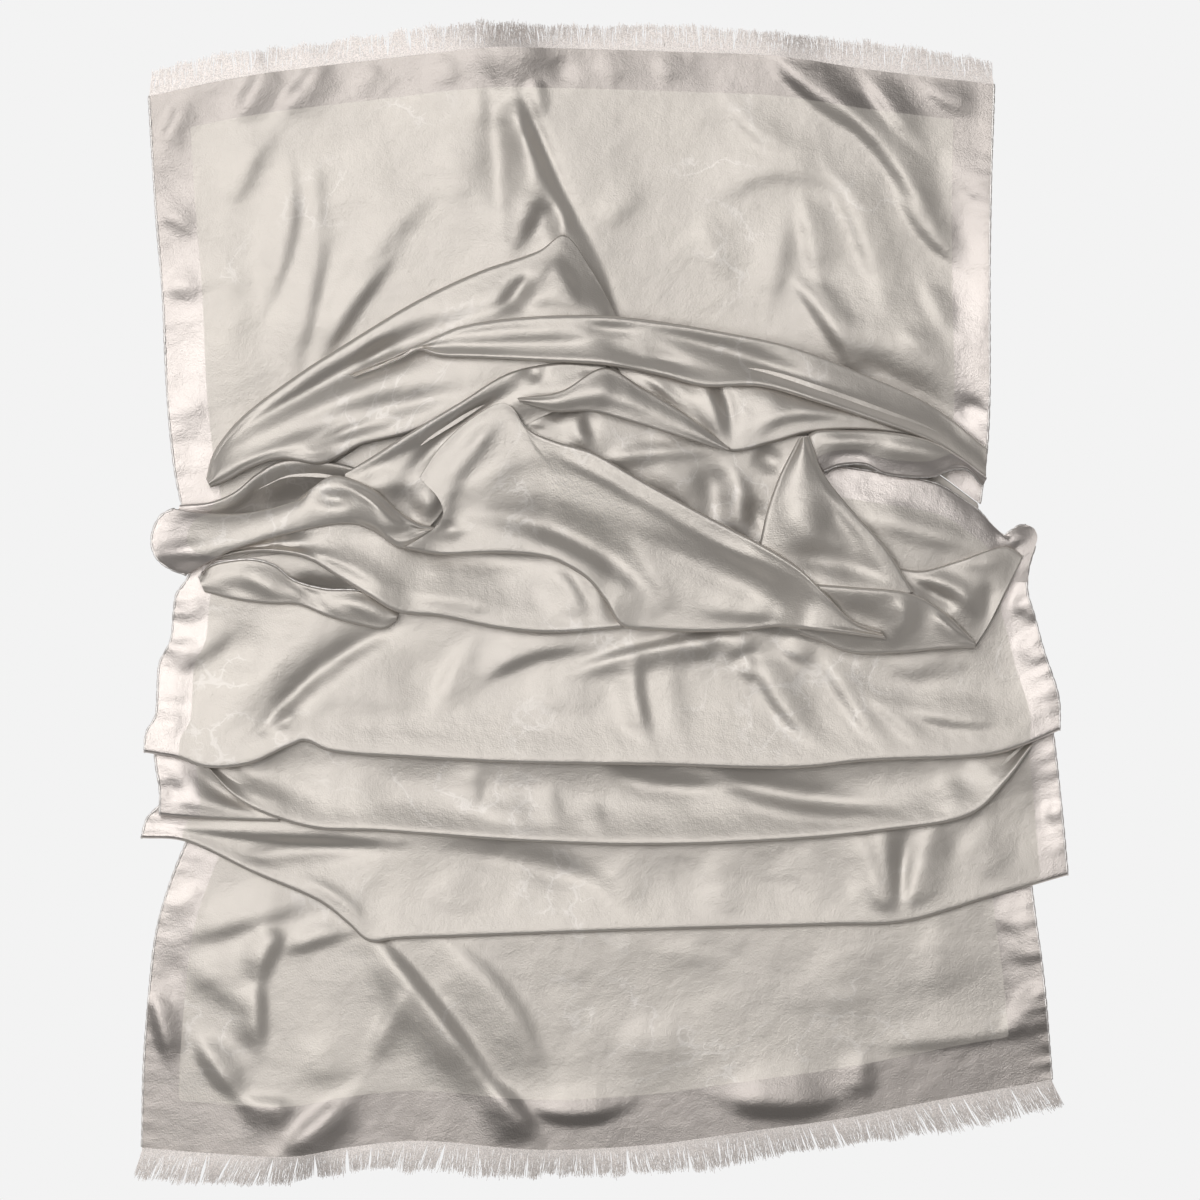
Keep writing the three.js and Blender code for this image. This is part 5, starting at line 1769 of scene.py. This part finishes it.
@dataclass
class Cloth:
    """All the stretches of the cloth, each a thin shell in place of its solid."""

    satin: bpy.types.Material
    draper: Draper = field(default_factory=Draper)
    grids: dict[str, ClothGrid] = field(default_factory=dict)

    def build(self, stretch: Stretch, seed: int, rests_on: list[str]) -> None:
        """Lays one stretch down and makes its shell.

        Args:
            stretch: the stretch.
            seed: picks its slight unevenness.
            rests_on: the names of what it lies on; not used.
        """
        grid = self.draper.drape(stretch, seed)
        columns, rows = grid.points.shape[:2]
        piece = make_piece(
            stretch.name + "_cloth", grid.points, [grid_faces(columns, rows)], self.satin,
            grid.cloth, grid.to_hem, grid.to_end,
        )
        sharpen_rim(piece.data, columns, rows)
        shell = piece.modifiers.new("thickness", "SOLIDIFY")
        shell.thickness = THICKNESS * METRE
        shell.offset = -1
        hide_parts(stretch.name)
        self.grids[stretch.name] = grid
        log.info("%s: %d points, highest %.1f mm", stretch.name, columns * rows, grid.points[..., 2].max())


@dataclass
class FoldedLayers:
    """The layers folded away inside: a stack whose edges show each layer."""

    satin: bpy.types.Material
    step_height: float = 3.0
    layers_a_step: int = 2
    bulge: float = 0.8
    loop_points: int = 420
    steps: Rows = ((0, 0, 0), (92, 18, 26), (176, 40, 60))
    left: Rows = ((214, 506), (192, 560), (190, 640), (182, 720), (180, 790), (192, 828))
    right: Rows = ((968, 486), (985, 560), (1008, 640), (1030, 720), (1036, 790), (1030, 860))
    margin: float = 3.0
    seam: float = 0.6
    side_points: int = 40
    layer_points: int = 8
    inset: float = 0.1
    inner_ring: float = 0.5

    def outline(self, far_seam: Array, near_seam: Array, step: tuple[float, ...]) -> Array:
        """The outline of one step of the stack, anticlockwise, its points evenly spaced.

        Args:
            far_seam: the end of the far panel.
            near_seam: the end of the near panel.
            step: how far its near side, its sides and its far side are in, in plan units.

        Returns:
            The outline's points.
        """
        near_shift, side_inset, far_inset = (value * UNIT for value in step)
        t = np.linspace(0, 1, self.side_points)
        left = EdgeLine(self.left).at(t)[:, :2] + (side_inset, 0)
        right = EdgeLine(self.right).at(t)[:, :2] - (side_inset, 0)
        far = far_seam[:, :2] - (0, far_inset + self.seam)
        near = near_seam[:, :2] + (0, near_shift + self.seam)
        low, high = left[0, 0] + self.margin, right[-1, 0] - self.margin
        far = far[(far[:, 0] > low) & (far[:, 0] < high)]
        near = near[(near[:, 0] > low) & (near[:, 0] < high)]
        left, right = (
            side[(side[:, 1] > near[end, 1] + self.margin) & (side[:, 1] < far[end, 1] - self.margin)]
            for side, end in ((left, 0), (right, -1))
        )
        loop = np.vstack([near, right[::-1], far[::-1], left, near[:1]])
        length = run_length(loop)
        place = np.linspace(0, length[-1], self.loop_points, endpoint=False)
        return along_path(place, length, loop)

    def cap(self, rim: Array, middle: Array, order: int) -> tuple[Array, list[Array]]:
        """A flat cover over one rim: a ring of quads, and a fan to its middle.

        Args:
            rim: the points round it.
            middle: the x and y of its middle.
            order: 1 where it faces up, -1 where it faces down.

        Returns:
            The vertices, each rim point followed by its point on the ring and the middle last, and
            the faces.
        """
        ring = middle + (rim[:, :2] - middle) * self.inner_ring
        pairs = np.stack([rim, np.concatenate([ring, rim[:, 2:]], axis=-1)], axis=1)
        here = np.arange(len(rim)) * 2
        following = np.roll(here, -1)
        last = np.full_like(here, len(rim) * 2)
        quads = np.stack([here, following, following + 1, here + 1], axis=-1)[:, ::order]
        fan = np.stack([here + 1, following + 1, last], axis=-1)[:, ::order]
        return np.vstack([pairs.reshape(-1, 3), [[*middle, rim[0, 2]]]]), [quads, fan]

    def build(self, far_seam: Array, near_seam: Array, support: Support) -> bpy.types.Object:
        """Makes the stack. Each layer's edge is half a circle: it is in by its bulge times 1 less
        the sine of the angle through the layer.

        Args:
            far_seam: the end of the far panel.
            near_seam: the end of the near panel.
            support: what the stack is laid down on.

        Returns:
            The piece.
        """
        points, faces, offset = [], [], 0
        for k, step in enumerate(self.steps):
            outline = self.outline(far_seam, near_seam, step)
            middle = outline.mean(axis=0)
            inward = middle - outline
            inward /= np.linalg.norm(inward, axis=1, keepdims=True)
            level = np.linspace(0, 1, self.layer_points * self.layers_a_step + 1)
            bulge = 1 - np.abs(np.sin(level * math.pi * self.layers_a_step))
            inset = self.inset + self.bulge * bulge
            height = (k + level) * self.step_height
            rings = outline[:, None] + inward[:, None] * inset[None, :, None]
            levels = np.broadcast_to(height, rings.shape[:2])[..., None]
            side = np.concatenate([rings, levels], axis=-1)
            for index, order in ((-1, 1), (0, -1)):
                cap, cap_faces = self.cap(side[:, index], middle, order)
                faces += [part + offset for part in cap_faces]
                points.append(cap)
                offset += len(cap)
                if index == -1:
                    support.lay(cap[:-1].reshape(-1, 2, 3))
            wall = grid_faces(self.loop_points, len(level), closed=True)[:, ::-1]
            faces.append(wall + offset)
            points.append(side.reshape(-1, 3))
            offset += side.shape[0] * side.shape[1]
        vertices = np.vstack(points)
        cloth = vertices[:, :2] * METRE
        in_field = np.full(len(vertices), FAR_FROM_HEM)
        piece = make_piece("folded_layers", vertices, faces, self.satin, cloth, in_field, in_field)
        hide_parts("hidden_layers")
        return piece


@dataclass
class RolledHems:
    """The hems rolled and stitched by hand: a thin roll pinched by each stitch."""

    finish: bpy.types.Material
    pinch: float = 0.35
    pinch_sharpness: float = 6.0
    point_step: float = 1.0
    wander: float = 0.25
    wander_length: float = 31.0
    mean_fullness: float = 0.92
    swell: float = 0.1
    swell_length: float = 13.0
    above_floor: float = 0.05
    sides: int = 8
    points: list[Array] = field(default_factory=list)
    faces: list[Array] = field(default_factory=list)
    cloth: list[Array] = field(default_factory=list)

    @staticmethod
    def path_of(grid: ClothGrid, side: Side) -> Array:
        """The edge of a stretch that a hem runs along.

        Args:
            grid: the stretch as laid.
            side: the edge, which is the middle of the fold where the edge is folded.

        Returns:
            Points along it.
        """
        if side is Side.LEFT:
            return grid.points[0]
        if side is Side.RIGHT:
            return grid.points[-1]
        if side is Side.FAR:
            return grid.points[:, max(grid.interior.start - ARC_MIDDLE, 0)]
        last = grid.points.shape[1] - 1
        return grid.points[:, min(grid.interior.stop - 1 + ARC_MIDDLE, last)]

    def add(self, grid: ClothGrid, side: Side) -> None:
        """Adds the hem along one edge: its radius dips at each stitch as a narrow bell, and it
        wanders a little from stitch to stitch.

        Args:
            grid: the stretch that it belongs to, as laid.
            side: the edge.
        """
        edge = self.path_of(grid, side)
        length = run_length(edge)
        place = np.arange(0, length[-1], self.point_step)
        path = along_path(place, length, edge)
        path[:, 2] -= THICKNESS / 2
        phase = place / STITCH_STEP + self.wander * np.sin(place / self.wander_length)
        dip = np.exp(-((phase - np.round(phase)) * self.pinch_sharpness) ** 2)
        fullness = self.mean_fullness + self.swell * np.sin(place / self.swell_length)
        radius = HEM_RADIUS * (1 - self.pinch * dip) * fullness
        path[:, 2] = np.maximum(path[:, 2], radius + self.above_floor)
        vertices, faces = tube(path, radius, self.sides)
        offset = sum(len(part) for part in self.points)
        self.points.append(vertices)
        self.faces += [part + offset for part in faces]
        around = np.repeat(np.arange(self.sides), len(path)) * METRE
        self.cloth.append(np.stack([around, np.tile(place, self.sides) * METRE], axis=-1))

    def build(self) -> bpy.types.Object:
        """Makes all the hems as one piece.

        Returns:
            The piece.
        """
        vertices, cloth = np.vstack(self.points), np.vstack(self.cloth)
        piece = make_piece("rolled_hems", vertices, self.faces, self.finish, cloth)
        return piece


@dataclass
class Fringe:
    """The loose warp threads at one end of the stole."""

    name: str
    node: str
    outward: float
    tip_spread: float
    seed: int
    thread: bpy.types.Material
    count: int = 2850
    length: float = 18.0
    thickness: float = 0.32
    clump: int = 27
    points_along: int = 5
    sides: int = 3
    cord: float = 0.6
    cord_step: float = 0.9
    cord_sides: int = 6
    cord_drop: float = 0.2
    knot: float = 0.22
    knot_step: float = 3.0
    above_floor: float = 0.05
    spacing_shake: float = 0.4
    end_margin: float = 0.001
    tangent_reach: float = 4.0
    clump_lean: float = 0.07
    clump_unevenness: float = 0.05
    thread_lean: float = 0.06
    curl: float = 0.07
    thread_unevenness: float = 0.06
    lean_waves: Rows = ((0.10, 37.0, 0.0), (0.06, 91.0, 1.0))
    length_wave: tuple[float, float] = (0.08, 23.0)
    gathering: float = 0.22
    rest_height: float = 0.45
    most_lift: float = 0.7
    lift_turn: float = 0.85
    thinning: float = 0.45

    def root_band(self, root: Array) -> tuple[Array, list[Array]]:
        """The knotted row that holds the threads: a thin cord along the end of the cloth, thicker
        at each knot as a sine of its length.

        Args:
            root: the end of the cloth.

        Returns:
            The vertices and the faces.
        """
        length = run_length(root)
        place = np.arange(0.0, length[-1], self.cord_step)
        path = along_path(place, length, root)
        radius = self.cord * (1 + self.knot * np.sin(2 * math.pi * place / self.knot_step))
        path[:, 2] = np.maximum(path[:, 2] - self.cord_drop, radius + self.above_floor)
        return tube(path, radius, self.cord_sides)

    def _lines(self, root: Array) -> tuple[Array, Array]:
        """The middle lines of the threads. Each leaves the cloth square to its end, leans with its
        neighbours, bends a little and draws towards the middle of its clump.

        Args:
            root: the end of the cloth.

        Returns:
            Points along each thread, and the direction of the cloth's end at each.
        """
        draw = np.random.RandomState(self.seed)
        length = run_length(root)
        shake = draw.uniform(-self.spacing_shake, self.spacing_shake, self.count)
        share = np.clip((np.arange(self.count) + shake) / self.count, self.end_margin, 1 - self.end_margin)
        place = share * length[-1]
        base = along_path(place, length, root)
        ahead, behind = (
            along_path(place + reach, length, root[:, :2])
            for reach in (self.tangent_reach, -self.tangent_reach)
        )
        tangent = ahead - behind
        tangent /= np.linalg.norm(tangent, axis=1, keepdims=True)
        out = np.stack([-tangent[:, 1], tangent[:, 0]], axis=-1) * self.outward
        clump = np.arange(self.count) // self.clump
        clumps = clump.max() + 1
        clump_lean = draw.normal(0, self.clump_lean, clumps)[clump]
        clump_length = (1 + draw.normal(0, self.clump_unevenness, clumps))[clump]
        wave = sum(size * np.sin(share * rate + start) for size, rate, start in self.lean_waves)
        lean = clump_lean + wave + draw.normal(0, self.thread_lean, self.count)
        curl = draw.normal(0, self.curl, self.count)
        reach = self.length * clump_length * (1 + draw.normal(0, self.thread_unevenness, self.count))
        size, rate = self.length_wave
        reach *= 1 + size * np.sin(share * rate)
        middle = (clump + 0.5) * self.clump / self.count
        draw_in = (middle - share) * length[-1] * self.gathering
        lift = draw.uniform(0.0, self.most_lift, self.count)[:, None]
        s = np.linspace(0, 1, self.points_along)
        forward = reach[:, None] * s
        bent = lean[:, None] * s + curl[:, None] * s ** 2
        sideways = reach[:, None] * bent + draw_in[:, None] * s
        plan = base[:, None, :2] + out[:, None] * forward[..., None] + tangent[:, None] * sideways[..., None]
        plan[..., 0] += ((2 * share - 1) * self.tip_spread)[:, None] * s
        height = self.rest_height + (base[:, 2:3] - self.rest_height) * (1 - s)
        height = height + lift * np.sin(math.pi * s * self.lift_turn)
        return np.concatenate([plan, height[..., None]], axis=-1), tangent

    def _faces(self) -> list[Array]:
        """The faces of the threads, whose points are ring after ring along each one.

        Returns:
            The walls, and the two caps of every thread.
        """
        around = np.arange(self.sides)
        following = (around + 1) % self.sides
        row = np.arange(self.points_along - 1)[:, None] * self.sides
        above = row + self.sides
        ring = np.stack([row + around, row + following, above + following, above + around], axis=-1)
        start = (np.arange(self.count) * self.points_along * self.sides)[:, None, None]
        walls = (ring.reshape(1, -1, 4) + start).reshape(-1, 4)
        last = around + (self.points_along - 1) * self.sides
        caps = (np.stack([around[::-1], last])[None] + start).reshape(-1, 3)
        if self.outward < 0:
            walls, caps = walls[:, ::-1], caps[:, ::-1]
        return [walls, caps]

    def build(self, root: Array) -> bpy.types.Object:
        """Makes the threads, each a thin tube of three sides that thins to its tip, and the band
        that holds them.

        Args:
            root: the end of the cloth.

        Returns:
            The piece.
        """
        line, tangent = self._lines(root)
        angle = np.linspace(0, 2 * math.pi, self.sides, endpoint=False) + math.pi / 6
        radius = self.thickness * (1 - self.thinning * np.linspace(0, 1, self.points_along))
        across = np.concatenate([tangent, np.zeros((self.count, 1))], axis=-1)
        ring = (
            np.cos(angle)[None, None, :, None] * across[:, None, None, :]
            + np.sin(angle)[None, None, :, None] * np.array([0.0, 0.0, 1.0])
        )
        points = (line[:, :, None, :] + ring * radius[None, :, None, None]).reshape(-1, 3)
        band, band_faces = self.root_band(root)
        band_faces = [part + len(points) for part in band_faces]
        faces = [*self._faces(), *band_faces]
        points = np.vstack([points, band])
        piece = make_piece(self.name, points, faces, self.thread, smooth=False)
        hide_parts(self.node)
        return piece


@dataclass(frozen=True)
class Studio:
    """The pale floor, the soft light and the camera that looks straight down."""

    camera_height: float = 6.0
    sensor: float = 36.0
    sight: float = 50.0
    floor_side: float = 8.0
    floor_color: tuple[float, float, float, float] = (0.896, 0.896, 0.896, 1.0)
    light_place: tuple[float, float, float] = (-1.15, 0.80, 4.6)
    light_side: float = 3.2
    light_power: float = 122.0
    sky_color: tuple[float, float, float, float] = (1.0, 0.99, 0.98, 1.0)
    sky_from: float = 0.15
    sky_to: float = 0.60
    low_strength: float = 0.50
    high_strength: float = 0.07

    def floor(self) -> None:
        """Makes the floor, even in brightness as a lit white surface is in the photo."""
        half = self.floor_side / 2
        corners = [(-half, -half, 0), (half, -half, 0), (half, half, 0), (-half, half, 0)]
        mesh = bpy.data.meshes.new("floor")
        mesh.from_pydata(corners, [], [(0, 1, 2, 3)])
        nodes = Nodes("floor_white")
        glow = nodes.fill(nodes.add("ShaderNodeEmission"), {"Color": self.floor_color})
        nodes.link(glow, 0, nodes.output, "Surface")
        mesh.materials.append(nodes.material)
        floor = bpy.data.objects.new("floor", mesh)
        bpy.context.scene.collection.objects.link(floor)

    def light(self) -> None:
        """Adds one square soft light that faces the stole, and isn't seen itself."""
        lamp = bpy.data.lights.new("key", "AREA")
        lamp.shape = "SQUARE"
        lamp.size = self.light_side
        lamp.energy = self.light_power
        holder = bpy.data.objects.new("key", lamp)
        holder.location = self.light_place
        x, y, z = self.light_place
        holder.rotation_euler = (math.atan2(math.hypot(x, y), z), 0.0, math.atan2(y, x) + math.pi / 2)
        holder.visible_camera = False
        bpy.context.scene.collection.objects.link(holder)

    def surroundings(self) -> None:
        """Lights the stole from all round, more from low down than from above."""
        world = bpy.data.worlds.new("surroundings")
        world.use_nodes = True
        tree = world.node_tree
        background = Nodes.fill(tree.nodes["Background"], {"Color": self.sky_color})
        direction = tree.nodes.new("ShaderNodeTexCoord")
        parts = tree.nodes.new("ShaderNodeSeparateXYZ")
        rising = tree.nodes.new("ShaderNodeMapRange")
        Nodes.fill(rising, {
            "From Min": self.sky_from, "From Max": self.sky_to,
            "To Min": self.low_strength, "To Max": self.high_strength,
        })
        tree.links.new(direction.outputs["Generated"], parts.inputs[0])
        tree.links.new(parts.outputs["Z"], rising.inputs["Value"])
        tree.links.new(rising.outputs[0], background.inputs["Strength"])
        bpy.context.scene.world = world

    def camera(self) -> None:
        """Stands the camera over the photo's middle, with the photo's side filling its view."""
        camera = bpy.data.cameras.new("camera")
        camera.sensor_width = self.sensor
        camera.lens = self.sensor * self.camera_height / (PHOTO_SIDE * UNIT * METRE)
        camera.clip_end = self.sight
        holder = bpy.data.objects.new("camera", camera)
        middle = to_plan(PHOTO_MIDDLE) * METRE
        holder.location = (middle[0], middle[1], self.camera_height)
        bpy.context.scene.collection.objects.link(holder)
        bpy.context.scene.camera = holder

    def build(self) -> None:
        """Sets up the floor, the light, the surroundings and the camera."""
        self.floor()
        self.light()
        self.surroundings()
        self.camera()
        bpy.context.scene.view_settings.view_transform = "Standard"


def main() -> None:
    """Builds the stole from the floor up, then its studio."""
    logging.basicConfig(level=logging.INFO, format="%(message)s")
    satin = SatinFinish().make()
    thread = ThreadFinish().make()
    cloth = Cloth(satin)
    cloth.build(FAR_PANEL, FAR_CLOTH_SEED, ["floor"])
    cloth.build(NEAR_PANEL, NEAR_CLOTH_SEED, ["floor"])
    far, near = cloth.grids["far_panel"].points, cloth.grids["near_panel"].points
    FoldedLayers(satin).build(far[:, -1], near[:, 0], cloth.draper.support)
    log.info("folded layers")
    for seed, stretch in enumerate(LAID_ORDER, FIRST_LAID_SEED):
        cloth.build(stretch, seed, ["folded_layers"])
    hems = RolledHems(STITCHED_HEM.make())
    for stretch in (FAR_PANEL, NEAR_PANEL, *LAID_ORDER):
        for side in stretch.hems:
            hems.add(cloth.grids[stretch.name], side)
    hems.build()
    log.info("rolled hems")
    Fringe(
        "far_fringe_threads", "fringe_far", outward=1.0, tip_spread=-4.0, seed=FAR_FRINGE_SEED,
        thread=thread,
    ).build(far[:, 0])
    Fringe(
        "near_fringe_threads", "fringe_near", outward=-1.0, tip_spread=8.0, seed=NEAR_FRINGE_SEED,
        thread=thread, count=3000, length=20.0,
    ).build(near[:, -1])
    log.info("fringes")
    Studio().build()


if __name__ == "__main__":
    main()
